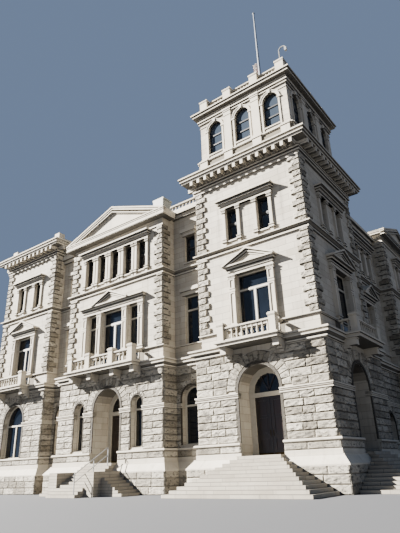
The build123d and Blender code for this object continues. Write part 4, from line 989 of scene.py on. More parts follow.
def unit_stone(taper: float = 0.0, columns: Sequence[float] = (0, 0.05, 0.28, 0.5, 0.72, 0.95, 1),
               rows: Sequence[float] = (0, 0.11, 0.37, 0.63, 0.89, 1)) -> bpy.types.Object:
    """Make a unit stone: a metre square with its back on the wall and its rough face one metre out.

    Args:
        taper: how much wider its head is than its foot, as a share of its width.
        columns: places of the upright lines of its face, from 0 to 1.
        rows: heights of the level lines of its face, from 0 to 1.

    Returns:
        An object that holds it, with the share of roughness of each vertex.
    """
    edge_out, row, up = -0.62, len(columns), len(rows) - 1
    points, rough = [], []
    for j, height in enumerate(rows):
        for k, share in enumerate(columns):
            edge = k in (0, row - 1) or j in (0, up)
            x, z = share - 0.5, height - 0.5
            points.append((x * (1 + taper * 2 * z), edge_out if edge else -1.0, z))
            rough.append(0.0 if edge else 1.0)
    back = len(points)
    points += [(x * (1 + taper * 2 * z), 0.0, z) for x, z in ((-0.5, -0.5), (0.5, -0.5), (0.5, 0.5), (-0.5, 0.5))]
    faces = [[j * row + k, j * row + k + 1, (j + 1) * row + k + 1, (j + 1) * row + k]
             for j in range(up) for k in range(row - 1)]
    faces += [[back + 3, back + 2, back + 1, back],
              [back, back + 1, *reversed(range(row))],
              [back + 2, back + 3, *range(up * row, up * row + row)],
              [back + 1, back + 2, *(j * row + row - 1 for j in reversed(range(up + 1)))],
              [back + 3, back, *(j * row for j in range(up + 1))]]
    mesh = bpy.data.meshes.new("unit_stone")
    mesh.from_pydata(points, [], faces)
    mesh.attributes.new("rough", "FLOAT", "POINT").data.foreach_set("value", rough + [0.0] * 4)
    return bpy.data.objects.new("unit_stone", mesh)


def unit_baluster(sides: int = 8) -> bpy.types.Object:
    """Make a turned baluster a metre high and about a metre across, standing on the origin.

    Args:
        sides: sides of its round section.

    Returns:
        An object that holds it.
    """
    profile = ((0.46, 0.0), (0.46, 0.10), (0.30, 0.16), (0.50, 0.34), (0.30, 0.60), (0.22, 0.72), (0.34, 0.80),
               (0.24, 0.84), (0.46, 0.90), (0.46, 1.0))
    turns = [2 * math.pi * k / sides for k in range(sides)]
    points = [(radius * math.cos(a), radius * math.sin(a), z) for radius, z in profile for a in turns]
    top = (len(profile) - 1) * sides
    faces = [[j + k, j + (k + 1) % sides, j + sides + (k + 1) % sides, j + sides + k]
             for j in range(0, top, sides) for k in range(sides)]
    mesh = bpy.data.meshes.new("unit_baluster")
    mesh.from_pydata(points, [], faces + [list(reversed(range(sides))), list(range(top, top + sides))])
    return bpy.data.objects.new("unit_baluster", mesh)


# Masonry

@dataclass
class RockFacedMasonry:
    """Rock-faced courses, voussoirs and quoins laid over the plain walls."""

    length: float = 1.12
    joint: float = 0.018
    bed_joint: float = 0.036
    sunk: float = 0.01
    bed: float = 0.006
    proud: float = 0.085
    relief: float = 0.16
    shortest: float = 0.08
    base_out: float = 0.775
    base_proud: float = 0.06
    base_relief: float = 0.06
    course_out: float = 0.37
    ring: float = 0.17
    reach: float = 1.58
    wedge_joint: float = 0.016
    key: float = 0.03
    long_quoin: float = 0.82
    short_quoin: float = 0.56
    quoin: float = 0.4
    quoin_proud: float = 0.12
    seed: int = 11

    def __post_init__(self) -> None:
        """Start the fixed random sequence and the mortar."""
        self.chance = random.Random(self.seed)
        self.mortar = Draft()

    def stone(self, face: Face, place: Vector, size: Triple, turn: float = 0.0) -> Stone:
        """A stone that lies on a face, with its own tone."""
        return Stone(place, Vector(size), (0, turn, face.yaw), face.outward, self.chance.random())

    def course(self, face: Face, u: Pair, z: Pair, out: float, odd: int, proud: float) -> list[Stone]:
        """Divide one stretch of a course into stones.

        Args:
            face: the upper wall's face.
            u: the stretch along it.
            z: foot and head of the course.
            out: distance outwards that the stones stand on.
            odd: 1 for every second course, whose joints are moved, and 0 for the others.
            proud: how far the stones stand out.

        Returns:
            The stones.
        """
        self.mortar.bar(face, u, z, (out - self.sunk, out + self.bed))
        long = u[1] - u[0]
        count = max(1, round(long / self.length + (0.25 if odd else -0.25)))
        cuts = [u[0] + long * (k + self.chance.uniform(-0.16, 0.16)) / count for k in range(1, count)]
        cuts = [u[0], *cuts, u[1]]
        return [self.stone(face, face.point((a + b) / 2, (z[0] + z[1]) / 2, out - self.sunk),
                           (b - a - self.joint, proud + self.sunk, z[1] - z[0] - self.bed_joint))
                for a, b in zip(cuts, cuts[1:])]

    def arched(self, face: Face) -> list[Opening]:
        """Openings of the ground storey."""
        return [one for one in OPENINGS[face.bays] if one.storey in (Storey.GROUND, Storey.DOOR)]

    def stretches(self, face: Face, z: Pair, ends: Pair) -> list[Pair]:
        """Find the stretches of a course that no opening or voussoir takes up.

        Args:
            face: the upper wall's face.
            z: foot and head of the course.
            ends: ends of the wall, along the face.

        Returns:
            Ranges along the face.
        """
        taken = []
        middle = (z[0] + z[1]) / 2
        for one in self.arched(face):
            if z[1] <= one.sill + 0.02:
                continue
            reach = one.width / 2 * (1 + self.ring / 1.3)
            if middle > one.spring:
                square = (one.width / 2 * self.reach) ** 2 - (middle - one.spring) ** 2
                reach = math.sqrt(max(square, 0))
            if reach:
                taken.append(span(one.u, reach))
        return [(a, b) for a, b in gaps(ends, taken) if b - a > self.shortest]

    def ends(self, k: int, out: float) -> Pair:
        """Ends of a face that stands out from an upper wall."""
        half = FACES[k].half
        return (-half - out * corner_turn(CORNERS, k), half + out * corner_turn(CORNERS, (k + 1) % len(CORNERS)))

    def ground_storey(self) -> list[Stone]:
        """Lay the courses of the ground storey, all round.

        Returns:
            The stones.
        """
        stones = []
        for low, high, count in ((LEVELS.base, LEVELS.impost, 6), (LEVELS.impost_top, LEVELS.band, 5)):
            deep = (high - low) / count
            for j in range(count):
                z = (low + j * deep, low + (j + 1) * deep)
                for k, face in enumerate(FACES):
                    for stretch in self.stretches(face, z, self.ends(k, PLAN.ground_out)):
                        stones += self.course(face, stretch, z, PLAN.ground_out, j % 2, self.proud)
        return stones

    def voussoirs(self) -> tuple[list[Stone], Draft]:
        """Lay wedge stones round every ground-storey arch, and the rough rim inside them, which is finished
        near black as painted shade in the arch's reveal.

        Returns:
            The wedges, and the draft of the rim of painted shade, which runs down the jambs too.
        """
        stones, rim_shade, out = [], Draft(), PLAN.ground_out
        for face in FACES:
            for one in self.arched(face):
                inner, centre = one.width / 2, (one.u, one.spring)
                ring = inner * (1 + self.ring / 1.3)
                outer = min(inner * self.reach, LEVELS.band - one.spring - 0.01)
                count = 17 if one.width > 2 else 11
                self.mortar.arch(face, centre, (ring, outer), (out - self.sunk, out + self.bed))
                middle = (ring + outer) / 2
                for j in range(count):
                    turn = math.pi * ((j + 0.5) / count - 0.5)
                    place = face.point(one.u + middle * math.sin(turn), one.spring + middle * math.cos(turn),
                                       out - self.sunk)
                    proud = self.proud - self.sunk + (self.key if j == count // 2 else 0)
                    size = (math.pi * middle / count - self.wedge_joint, proud, outer - ring - self.wedge_joint)
                    stones.append(self.stone(face, place, size, turn))
                # The rim takes the near-black finish: painted shade in the arch's reveal and down its jambs.
                edge, end, depth = inner + 0.004, ring - 0.006, (out - 0.03, out + 0.075)
                rim_shade.arch(face, centre, (edge, end), depth)
                for side in (-1, 1):
                    rim_shade.bar(face, (one.u + side * edge, one.u + side * end),
                            (max(one.sill, LEVELS.base) + 0.004, one.spring), depth)
        return stones, rim_shade

    def quoins(self) -> list[Stone]:
        """Lay alternating quoins up the outer corners of the upper storeys.

        Returns:
            The stones.
        """
        stones = []
        for k, face in enumerate(FACES):
            after = (k + 1) % len(FACES)
            for end, corner, other in ((-1, k, FACES[k - 1]), (1, after, FACES[after])):
                if corner_turn(CORNERS, corner) < 0:
                    continue
                head = min(face.head, other.head) - 0.5
                for low, high in ((LEVELS.ledge, LEVELS.string), (LEVELS.string_top, head)):
                    count = round((high - low) / self.quoin)
                    deep = (high - low) / count
                    for j in range(count):
                        wide = self.long_quoin if (j + k + (end > 0)) % 2 else self.short_quoin
                        place = face.point(end * (face.half - wide / 2 + 0.05), low + (j + 0.5) * deep, -self.sunk)
                        size = (wide - self.joint, self.quoin_proud, deep - self.bed_joint)
                        stones.append(self.stone(face, place, size))
        return stones

    def base(self) -> tuple[list[Stone], Draft]:
        """Lay the courses of the base and the smooth mouldings between them.

        Returns:
            The stones and the draft of the smooth core.
        """
        z, stones, core, door = LEVELS, [], Draft(), span(0, PLAN.doorway / 2)
        doors = {k: [door] for k, face in enumerate(FACES) if face.bays in (Bays.DOOR, Bays.CENTRE)}
        for low, high, count, out in ((0.0, z.base_courses, 3, self.base_out),
                                      (z.batter, z.upper_course, 1, self.course_out)):
            deep = (high - low) / count
            for j in range(count):
                for k, face in enumerate(FACES):
                    for stretch in gaps(self.ends(k, out), doors.get(k, [])):
                        stones += self.course(face, stretch, (low + j * deep, low + (j + 1) * deep), out, j % 2,
                                              self.base_proud)
        out, lip, step = self.base_out, z.base_courses, z.batter - 0.24
        profile = [(0.2, 0.0), (out, 0.0), (out, lip - 0.05), (out + 0.06, lip - 0.05), (out + 0.06, lip + 0.02),
                   (0.50, step - 0.06), (0.50, step), (0.40, step), (0.40, z.batter - 0.03),
                   (self.course_out, z.batter), (self.course_out, z.upper_course), (0.46, z.upper_course),
                   (0.5, z.upper_course + 0.05), (0.5, z.base - 0.03), (0.46, z.base), (0.2, z.base)]
        core.sweep(CORNERS, profile, {k: gaps(FACES[k].ends, taken) for k, taken in doors.items()})
        return stones, core

    def build(self) -> None:
        """Lay all the rock-faced work and dress it."""
        block = unit_stone()
        wedge = unit_stone(taper=0.22, columns=(0, 0.12, 0.5, 0.88, 1), rows=(0, 0.07, 0.36, 0.64, 0.93, 1))
        wall = self.ground_storey()
        middle = len(wall) // 2
        lay("ground_storey_courses_a", wall[:middle], block, ROCK, self.relief)
        lay("ground_storey_courses_b", wall[middle:], block, ROCK, self.relief)
        stones, rim_shade = self.voussoirs()
        lay("ground_storey_voussoirs", stones, wedge, ROCK, self.relief / 2)
        rim_shade.finish("ground_storey_arch_rims", RIM_SHADE, "granite")
        stones, core = self.base()
        core.finish("base_mouldings", TOOLED, "granite", stands_for=("base_front_and_back", "base_sides"))
        lay("base_courses", stones, block, ROCK, self.base_relief)
        lay("corner_quoins", self.quoins(), block, ROCK, self.relief)
        self.mortar.finish("mortar_beds", MORTAR, "granite")
        for unit in (block, wedge):
            bpy.data.objects.remove(unit)


@dataclass
class Mouldings:
    """Fillets and small mouldings that sharpen the plain bands of the solids."""

    balcony_foot: float = 7.3
    balcony_top: float = 7.95
    gable_out: float = 0.53
    gable_deep: float = 0.54
    rake: float = 0.358
    field_sunk: float = 0.2
    modillion_step: float = 0.6

    def clear(self, low: float, high: float) -> dict[int, list[Pair]]:
        """Find where a band can run along each wall without crossing an opening or a balcony.

        Args:
            low: height of the band's foot.
            high: height of its head.

        Returns:
            Stretches of every face, measured from its middle.
        """
        lengths = {}
        for k, face in enumerate(FACES):
            taken = [one.sides for one in OPENINGS[face.bays] if one.sill < high - 0.01 and one.top > low]
            if low < self.balcony_top and high > self.balcony_foot and face in BALCONIES:
                taken.append(span(0, BALCONIES[face] / 2))
            lengths[k] = gaps(face.ends, taken)
        return lengths

    def build(self) -> None:
        """Make the fillets of the bands, cornices, belfry and pediments."""
        z, draft, p = LEVELS, Draft(), PLAN
        for out, low, high in (
                (0.375, z.impost, z.impost + 0.06), (0.36, z.impost_top - 0.12, z.impost_top - 0.07),
                (0.40, z.impost_top - 0.05, z.impost_top + 0.02), (0.44, z.band + 0.06, z.band + 0.14),
                (0.58, z.cornice_lip - 0.01, z.cornice_lip + 0.07), (0.64, z.cornice - 0.11, z.cornice - 0.01),
                (0.14, z.ledge - 0.07, z.ledge), (0.12, z.string - 0.20, z.string - 0.11),
                (0.28, z.string_top - 0.06, z.string_top + 0.02)):
            draft.sweep(CORNERS, rectangle((0.0, out), (low, high)), self.clear(low, high))
        for plan in (rectangle(*(span(middle, p.tower / 2) for middle in p.tower_middle)),
                     rectangle((p.left, p.left + p.left_pavilion), (p.front, p.front + p.tower))):
            for back, out, low, high in ((0.7, 0.86, 0.44, 0.51), (0.7, 0.93, 0.65, 0.75),
                                         (0.0, 0.20, -0.36, -0.25), (0.0, 0.14, -0.58, -0.50),
                                         (0.0, 0.18, -0.10, -0.01)):
                draft.sweep(plan, rectangle((back, out), (z.pavilion + low, z.pavilion + high)))
            for face in walls_round(plan):
                self.noses(draft, face, z.pavilion)
        top = z.belfry_walls
        for back, out, low, high in ((0.1, 0.24, z.belfry - 0.09, z.belfry), (0.0, 0.18, top - 0.11, top - 0.02),
                                     (0.0, 0.11, top - 0.30, top - 0.23), (0.3, 0.44, top + 0.29, top + 0.36),
                                     (0.3, 0.54, z.belfry_eaves - 0.10, z.belfry_eaves)):
            draft.sweep([wall.start for wall in BELFRY_WALLS], rectangle((back, out), (low, high)))
        for face in (FACES[19], *REAR_GABLES):
            self.pediment(draft, face, z.centre if face.bays is Bays.CENTRE else z.rear)
        draft.finish("fine_fillets", TOOLED, "granite")

    def noses(self, draft: Draft, face: Face, foot: float) -> None:
        """Carry every modillion of one wall forward into a scrolled nose that stands in the light.

        Args:
            draft: the draft that takes them.
            face: the wall's face.
            foot: height of the cornice's foot.
        """
        reach = face.half + 0.5
        count = round(2 * reach / self.modillion_step)
        for k in range(1, count):
            u = span(-reach + 2 * reach * k / count, 0.10)
            draft.bar(face, u, (foot - 0.02, foot + 0.29), (0.5, 0.74))
            draft.bar(face, u, (foot, foot + 0.13), (0.2, 0.5))

    def pediment(self, draft: Draft, face: Face, wall: float) -> None:
        """Add the fillets of a gable's level and raking cornices, and its field.

        Args:
            draft: the draft that takes them.
            face: the wall's face.
            wall: height where the wall ends.
        """
        out, half, eave = self.gable_out, face.half + self.gable_out, wall + self.gable_deep
        for more, low, high in ((0.06, -0.09, -0.01), (0.035, -0.22, -0.16), (0.03, -0.50, -0.42)):
            draft.bar(face, span(0, half + more), (eave + low, eave + high), (0.2, out + more))
        ridge = eave + half * self.rake
        for more, drop, deep in ((0.07, 0.0, 0.12), (0.04, 0.22, 0.07), (0.03, 0.44, 0.07)):
            draft.slopes(face, half - drop / self.rake / 2, (eave - drop / 2, ridge - drop), deep,
                         (out - 0.1, out + more))
        inner = half - self.gable_deep / self.rake / 2
        draft.plate(face, [(-inner, eave - 0.01), (inner, eave - 0.01), (0, eave + inner * self.rake)],
                    (0.05, out - self.field_sunk))


@dataclass
class Roofs:
    """Grey sheet coverings with standing seams on the rear gables."""

    gap: float = 0.002
    lift: float = 0.03
    seam: float = 0.08
    seam_wide: float = 0.03
    pitch: float = 0.6

    def build(self) -> None:
        """Cover both rear gables, sheet first and then seam by seam."""
        draft = Draft()
        out = Mouldings.gable_out
        far, near = 0.05 - PLAN.tower - out, out - 0.06
        count = round((near - far) / self.pitch)
        seams = [far + (near - far) * k / count for k in range(1, count)]
        for face in REAR_GABLES:
            half, eave = face.half + out, LEVELS.rear + Mouldings.gable_deep
            for lift, depth in [(self.lift, (far, near))] + [(self.seam, (at, at + self.seam_wide)) for at in seams]:
                draft.slopes(face, half, (eave + lift, eave + half * Mouldings.rake + lift), lift - self.gap, depth)
        draft.finish("rear_roof_sheets", ROOF, "roof_metal")


@dataclass
class WindowStone:
    """Pilaster caps and bases, sunk panels, hood fillets and raking mouldings of the upper windows."""

    pilaster: float = 0.4
    out: float = 0.18
    panel: float = 0.08
    margin: float = 0.05
    cornice: float = 0.35
    slim: float = 0.2
    slim_out: float = 0.12

    def cap(self, draft: Draft, face: Face, u: float, wide: float, z: float, out: float, up: int = 1) -> None:
        """Add three growing fillets to a pilaster's end.

        Args:
            draft: the draft that takes them.
            face: the wall's face.
            u: the pilaster's middle.
            wide: its width.
            z: height of the end.
            out: how far the pilaster stands out.
            up: 1 for a cap, whose fillets hang below z, and -1 for a base, whose fillets stand above it.
        """
        for step, low, high in ((0.09, 0.0, 0.07), (0.05, 0.07, 0.13), (0.07, 0.19, 0.24)):
            draft.bar(face, span(u, wide / 2 + step), (z - up * low, z - up * high), (0.0, out + step))

    def pilaster_dress(self, draft: Draft, face: Face, u: float) -> None:
        """Dress one second-storey pilaster with its base, collar, cap and two sunk panels.

        Args:
            draft: the draft that takes them.
            face: the wall's face.
            u: the pilaster's middle.
        """
        head, foot, bar = LEVELS.second_head, LEVELS.ledge, LEVELS.second_bar
        self.cap(draft, face, u, self.pilaster, head, self.out)
        self.cap(draft, face, u, self.pilaster, foot, self.out, -1)
        draft.bar(face, span(u, 0.215), (bar, bar + 0.13), (0.0, self.out + 0.035))
        for z in ((foot + 0.24, bar - 0.04), (bar + 0.17, head - 0.24)):
            draft.border(face, span(u, self.pilaster / 2), z, self.panel, (self.out - 0.01, self.out + self.margin))

    def second_storey(self, draft: Draft) -> None:
        """Dress the second storey's windows that have pilasters and a gable."""
        for face in FACES:
            if face.bays is Bays.CENTRE:
                outer, inner = 2.9, 1.325
                places, half, reach = (-outer, -inner, inner, outer), inner + 0.4, outer + 0.34
            elif face.bays in (Bays.DOOR, Bays.PAVILION, Bays.REAR, Bays.MIDDLE):
                window = (1.7 if face.bays is Bays.MIDDLE else 2.3) / 2
                places = span(0, window + self.pilaster / 2)
                half = reach = window + self.pilaster + 0.15
            else:
                continue
            for u in places:
                self.pilaster_dress(draft, face, u)
            self.gable(draft, face, half, reach)

    def gable(self, draft: Draft, face: Face, half: float, reach: float) -> None:
        """Add the level and raking mouldings of a window's pediment.

        Args:
            draft: the draft that takes them.
            face: the wall's face.
            half: half the gable's width.
            reach: half the level cornice's width.
        """
        eave = LEVELS.second_head + self.cornice
        for out, more, low, high in ((0.25, -0.10, -0.16, -0.09), (0.34, -0.04, 0.0, 0.07),
                                     (0.50, 0.06, 0.14, 0.23)):
            draft.bar(face, span(0, reach + more), (eave + low, eave + high), (0.0, out))
        for out, more, drop, deep in ((0.58, 0.12, 0.0, 0.12), (0.46, 0.06, 0.20, 0.09), (0.38, 0.0, 0.36, 0.07)):
            draft.slopes(face, half + more - drop * 0.9, (eave + 0.27 - drop / 4, eave + 1.08 - drop), deep,
                         (0.0, out))

    def third_storey(self, draft: Draft) -> None:
        """Dress the third storey's windows, with slim pilasters and a common hood where they stand in rows."""
        z = LEVELS
        for face in FACES:
            openings = [one for one in OPENINGS[face.bays] if one.storey is Storey.THIRD]
            flat = face.bays in (Bays.RECESS, Bays.LONG)
            for one in openings:
                draft.bar(face, span(one.u, 0.53), (one.sill - 0.10, one.sill), (-0.3, 0.09))
                if flat:
                    draft.bar(face, span(one.u, 0.64), (one.top + 0.20, one.top + 0.25), (0.1, 0.2))
                    continue
                for u in span(one.u, (one.width + self.slim) / 2):
                    self.cap(draft, face, u, self.slim, z.third_head, self.slim_out)
                    self.cap(draft, face, u, self.slim, z.string_top + 0.34, self.slim_out, -1)
            if openings and not flat:
                reach = max(abs(one.u) for one in openings) + 0.65
                for out, low, high in ((0.22, 0.0, 0.08), (0.28, 0.17, 0.24), (0.42, 0.32, 0.40),
                                       (0.56, 0.48, 0.59)):
                    draft.bar(face, span(0, reach + out / 2), (z.third_head + low, z.third_head + high), (0.0, out))

    def build(self) -> None:
        """Make the stone dressings of the upper windows."""
        draft = Draft()
        self.second_storey(draft)
        self.third_storey(draft)
        draft.finish("window_dressings", TOOLED, "granite")


@dataclass
class Joinery:
    """Frames, sashes, glazing bars and panes of every window."""

    reveal: float = 0.2
    deep_reveal: float = 0.3
    frame: float = 0.09
    bar: float = 0.11
    stile: float = 0.05
    belfry_bars: Pair = (22.95, 23.75)

    def __post_init__(self) -> None:
        """Start the drafts of the painted frames, the dark sashes and the panes."""
        self.frames, self.sashes, self.glass = Draft(), Draft(), Draft()

    def build(self) -> None:
        """Make the joinery of every window."""
        for face in FACES:
            for one in OPENINGS[face.bays]:
                if one.storey is not Storey.DOOR:
                    self.window(face, one)
        for face in BELFRY_WALLS:
            for one in BELFRY_LIGHTS:
                self.sashes.ring(face, one.outline(), one.outline(0.07), (-0.26, -0.16))
                self.glass.plate(face, one.outline(0.05), (-0.23, -0.20))
                for z in self.belfry_bars:
                    self.sashes.bar(face, one.sides, (z, z + 0.09), (-0.21, -0.14))
        self.frames.finish("window_joinery", PAINT, "frame_paint", stands_for=("window_frames",))
        self.sashes.finish("dark_sashes", SASH, "frame_paint")
        self.glass.finish("window_panes", GLASS, "window_glass", stands_for=("window_glass",))

    def window(self, face: Face, one: Opening) -> None:
        """Add one window: its frame, transom, mullion, dark sashes and pane.

        Args:
            face: the wall's face.
            one: the window.
        """
        front = PLAN.ground_out - self.deep_reveal if one.storey is Storey.GROUND else -self.reveal
        self.frames.ring(face, one.outline(), one.outline(self.frame), (front - 0.16, front))
        self.glass.plate(face, one.outline(self.frame - 0.02), (front - 0.11, front - 0.08))
        if face in BALCONIES and one.storey is Storey.SECOND:
            low = (LEVELS.balcony_floor + 0.02, one.sill - 0.08)
            self.frames.border(face, one.sides, low, self.frame, (-0.01, 0.03))
            self.glass.bar(face, one.sides, low, (-0.008, 0.012))
        if one.bar:
            draft = self.sashes if one.storey is Storey.THIRD else self.frames
            draft.bar(face, one.sides, (one.bar, one.bar + self.bar), (front - 0.12, front - 0.01))
        if one.mullion:
            self.frames.bar(face, span(one.u, self.bar / 2), (one.sill, one.bar or one.top),
                            (front - 0.12, front - 0.012))
        if not one.arched:
            self.light_sashes(face, one, front - 0.03)

    def light_sashes(self, face: Face, one: Opening, front: float) -> None:
        """Add the slim dark sashes between a square window's frame and bars.

        Args:
            face: the wall's face.
            one: the window.
            front: distance outwards of the sashes' front.
        """
        left, right = span(one.u, one.width / 2 - self.frame + 0.005)
        bar = span(one.u, self.bar / 2)
        lower = [(left, bar[0]), (bar[1], right)] if one.mullion else [(left, right)]
        lights = [(u, (one.sill + self.frame, one.bar)) for u in lower]
        for u, z in lights + [((left, right), (one.bar + self.bar, one.top - self.frame))]:
            self.sashes.border(face, u, z, self.stile, (front - 0.06, front))


@dataclass
class Belfry:
    """Archivolts, keystones, imposts, pilaster caps and jamb shafts of the belfry."""

    wide: float = 0.6
    corner_wide: float = 0.58

    def build(self) -> None:
        """Make the belfry's carved stonework."""
        z, draft, shade_panels = LEVELS, Draft(), Draft()
        for face in BELFRY_WALLS:
            for one in BELFRY_LIGHTS:
                self.light(draft, face, one)
            for u in span(0, PLAN.belfry_pilaster):
                self.order(draft, face, u, self.wide, 0.12)
            for u in span(0, face.half - 0.3):
                self.order(draft, face, u, self.corner_wide, 0.02)
            # Painted shade: a dark panel on the belfry plinth between the pedestals.
            shade_panels.bar(face, span(0, face.half + 0.12), (z.belfry - 0.68, z.belfry - 0.12), (0.1, 0.135))
        draft.finish("belfry_dressings", TOOLED, "granite")
        shade_panels.finish("belfry_plinth_panels", SHADE_PLATE, "granite")

    def light(self, draft: Draft, face: Face, one: Opening) -> None:
        """Dress one arched window with its archivolt, keystone, imposts, shafts and sill.

        Args:
            draft: the draft that takes them.
            face: the belfry's wall face.
            one: the window.
        """
        half, spring, foot = one.width / 2, one.spring, LEVELS.belfry
        for near, far, out in ((0.0, 0.16, (-0.2, 0.05)), (0.13, 0.19, (0.0, 0.085))):
            draft.arch(face, (one.u, spring), (half + near, half + far), out, 14)
        low, high = spring + half - 0.02, spring + half + 0.30
        draft.plate(face, [(one.u - 0.08, low), (one.u + 0.08, low), (one.u + 0.13, high), (one.u - 0.13, high)],
                    (0.0, 0.13))
        for side in (-1, 1):
            for near, far, height, out in ((-0.03, 0.25, (spring - 0.11, spring), (-0.2, 0.10)),
                                           (0.0, 0.17, (foot, foot + 0.22), (-0.1, 0.09)),
                                           (0.02, 0.14, (foot + 0.22, spring - 0.11), (-0.1, 0.06))):
                draft.bar(face, (one.u + side * (half + near), one.u + side * (half + far)), height, out)
        draft.bar(face, one.sides, (one.sill - 0.09, one.sill), (-0.3, 0.07))

    def order(self, draft: Draft, face: Face, u: float, wide: float, out: float) -> None:
        """Add the pedestal, base and two-step capital of one belfry pilaster.

        Args:
            draft: the draft that takes them.
            face: the belfry's wall face.
            u: the pilaster's middle.
            wide: its width.
            out: how far it stands out.
        """
        foot, head = LEVELS.belfry, LEVELS.belfry_walls
        for step, low, high, front in ((0.07, foot, foot + 0.16, out), (0.04, foot + 0.16, foot + 0.26, out),
                                       (0.03, head - 0.62, head - 0.55, out),
                                       (0.04, head - 0.26, head - 0.14, out), (0.08, head - 0.14, head, out),
                                       (0.03, foot - 0.70, foot - 0.12, 0.22), (0.08, foot - 0.10, foot, 0.22)):
            draft.bar(face, span(u, wide / 2 + step), (low, high), (0.0, front + step))


@dataclass
class Balustrades:
    """Turned balusters between moulded rails, on the balconies, the belfry and the recesses."""

    rail: float = 0.13
    wide: float = 0.26
    lip: float = 0.045
    step: float = 0.3
    thick: float = 0.155
    small_step: float = 0.205
    small_thick: float = 0.125
    rail_top: float = 8.75
    pier: float = 0.4
    pier_top: float = 9.03
    pedestal: float = 0.62
    pedestal_top: float = 27.35
    balcony_out: float = 1.3
    pilaster_out: float = 0.18
    recess_rail: Pair = (18.88, 19.45)
    seed: int = 5

    def __post_init__(self) -> None:
        """Start with no balusters."""
        self.stones: list[Stone] = []
        self.rails = Draft()
        self.chance = random.Random(self.seed)

    @property
    def pier_out(self) -> float:
        """Distance outwards of the middles of a balcony's piers."""
        return self.balcony_out - self.pier / 2 - 0.05

    @property
    def belfry_corner(self) -> float:
        """Distance from the middle of a belfry wall to its corner pedestal."""
        return PLAN.belfry_half - self.pedestal / 2

    def run(self, face: Face, u: Pair, out: float, z: Pair, small: bool = False) -> None:
        """Add one run of balusters.

        Args:
            face: the face it runs along.
            u: its ends.
            out: distance outwards of its middle.
            z: its foot and head.
            small: whether its balusters are slimmer and closer, as on the belfry.
        """
        step, thick = (self.small_step, self.small_thick) if small else (self.step, self.thick)
        count = max(2, round((u[1] - u[0]) / step) - 1)
        pitch = (u[1] - u[0]) / count
        foot, head = z[0] + self.rail, z[1] - self.rail
        for low, high, half in ((z[0], foot, self.wide / 2), (head + self.lip, z[1], self.wide / 2),
                                (head, head + self.lip, self.wide / 2 - 0.04)):
            self.rails.bar(face, u, (low, high), span(out, half))
        for k in range(count):
            self.stones.append(Stone(face.point(u[0] + pitch * (k + 0.5), foot, out),
                                     Vector((thick, thick, head - foot)), (0, 0, face.yaw), Vector((0, 0, 0)),
                                     self.chance.random()))

    def piers(self, wide: float) -> list[float]:
        """Places of a balcony's piers along the wall."""
        end = wide / 2 - self.pier / 2 - 0.05
        return [-end, -end / 2.6, end / 2.6, end] if wide > 4 else [-end, end]

    def build(self) -> None:
        """Make the rails and lay the balusters."""
        height, half = (LEVELS.balcony_floor, self.rail_top), self.pier / 2
        for face, wide in BALCONIES.items():
            places = self.piers(wide)
            for a, b in zip(places, places[1:]):
                self.run(face, (a + half, b - half), self.pier_out, height)
            for u in (places[0], places[-1]):
                near, far = face.point(u, 0, self.pilaster_out), face.point(u, 0, self.pier_out - half)
                side = Face((near.x, near.y), (far.x, far.y))
                self.run(side, side.ends, 0.0, height)
        half = self.pedestal / 2
        places = [-self.belfry_corner, *span(0, PLAN.belfry_pilaster), self.belfry_corner]
        for face in BELFRY_WALLS:
            for a, b in zip(places, places[1:]):
                self.run(face, (a + half, b - half), -half, (LEVELS.belfry_eaves, LEVELS.parapet), small=True)
        for face in FACES:
            if face.bays is Bays.RECESS:
                self.run(face, face.ends, 0.26, self.recess_rail)
        unit = unit_baluster()
        lay("turned_balusters", self.stones, unit, TOOLED, smooth=True, stands_for=("balustrades",))
        bpy.data.objects.remove(unit)
        self.rails.finish("balustrade_rails", TOOLED, "granite")
        self.trim()

    def trim(self) -> None:
        """Make the caps of the piers and pedestals, the balcony fillets and the console scrolls."""
        draft, backing_shade, floor = Draft(), Draft(), LEVELS.balcony_floor
        for face, wide in BALCONIES.items():
            half = wide / 2
            # Painted shade: a dark plate on the wall behind the balusters, so that the gaps between them read dark.
            backing_shade.bar(face, span(0, half - 0.12), (floor, LEVELS.ledge - 0.09), (-0.005, 0.007))
            for low, high, more in ((7.64, 7.69, 0.02), (7.82, 7.91, 0.12)):
                front = self.balcony_out + (0.0 if face is FACES[14] else more)
                draft.bar(face, span(0, half + more), (low, high), (0.3, front))
            for u in self.piers(wide):
                self.capped(draft, face, u, self.pier_out, self.pier, self.pier_top)
                for side, z, out in ((0.2, (7.56, 7.625), (0.3, 1.09)), (0.16, (7.10, 7.24), (0.25, 0.62)),
                                     (0.13, (6.96, 7.12), (0.25, 0.42))):
                    draft.bar(face, span(u, side), z, out)
        for face in BELFRY_WALLS:
            for u in (-self.belfry_corner, *span(0, PLAN.belfry_pilaster)):
                self.capped(draft, face, u, -self.pedestal / 2, self.pedestal, self.pedestal_top)
        draft.finish("balcony_and_pedestal_trim", TOOLED, "granite")
        backing_shade.finish("balcony_splash_courses", SHADE_PLATE, "granite")

    def capped(self, draft: Draft, face: Face, u: float, out: float, wide: float, top: float) -> None:
        """Add a pier's moulded cap, below its own top, which stays the highest point.

        Args:
            draft: the draft that takes it.
            face: the face the pier stands along.
            u: the pier's middle.
            out: distance outwards of its middle.
            wide: its width.
            top: height of its top.
        """
        for step, low, high in ((0.045, 0.14, 0.05), (0.025, 0.19, 0.14)):
            reach = wide / 2 + step
            draft.bar(face, span(u, reach), (top - low, top - high), span(out, reach))


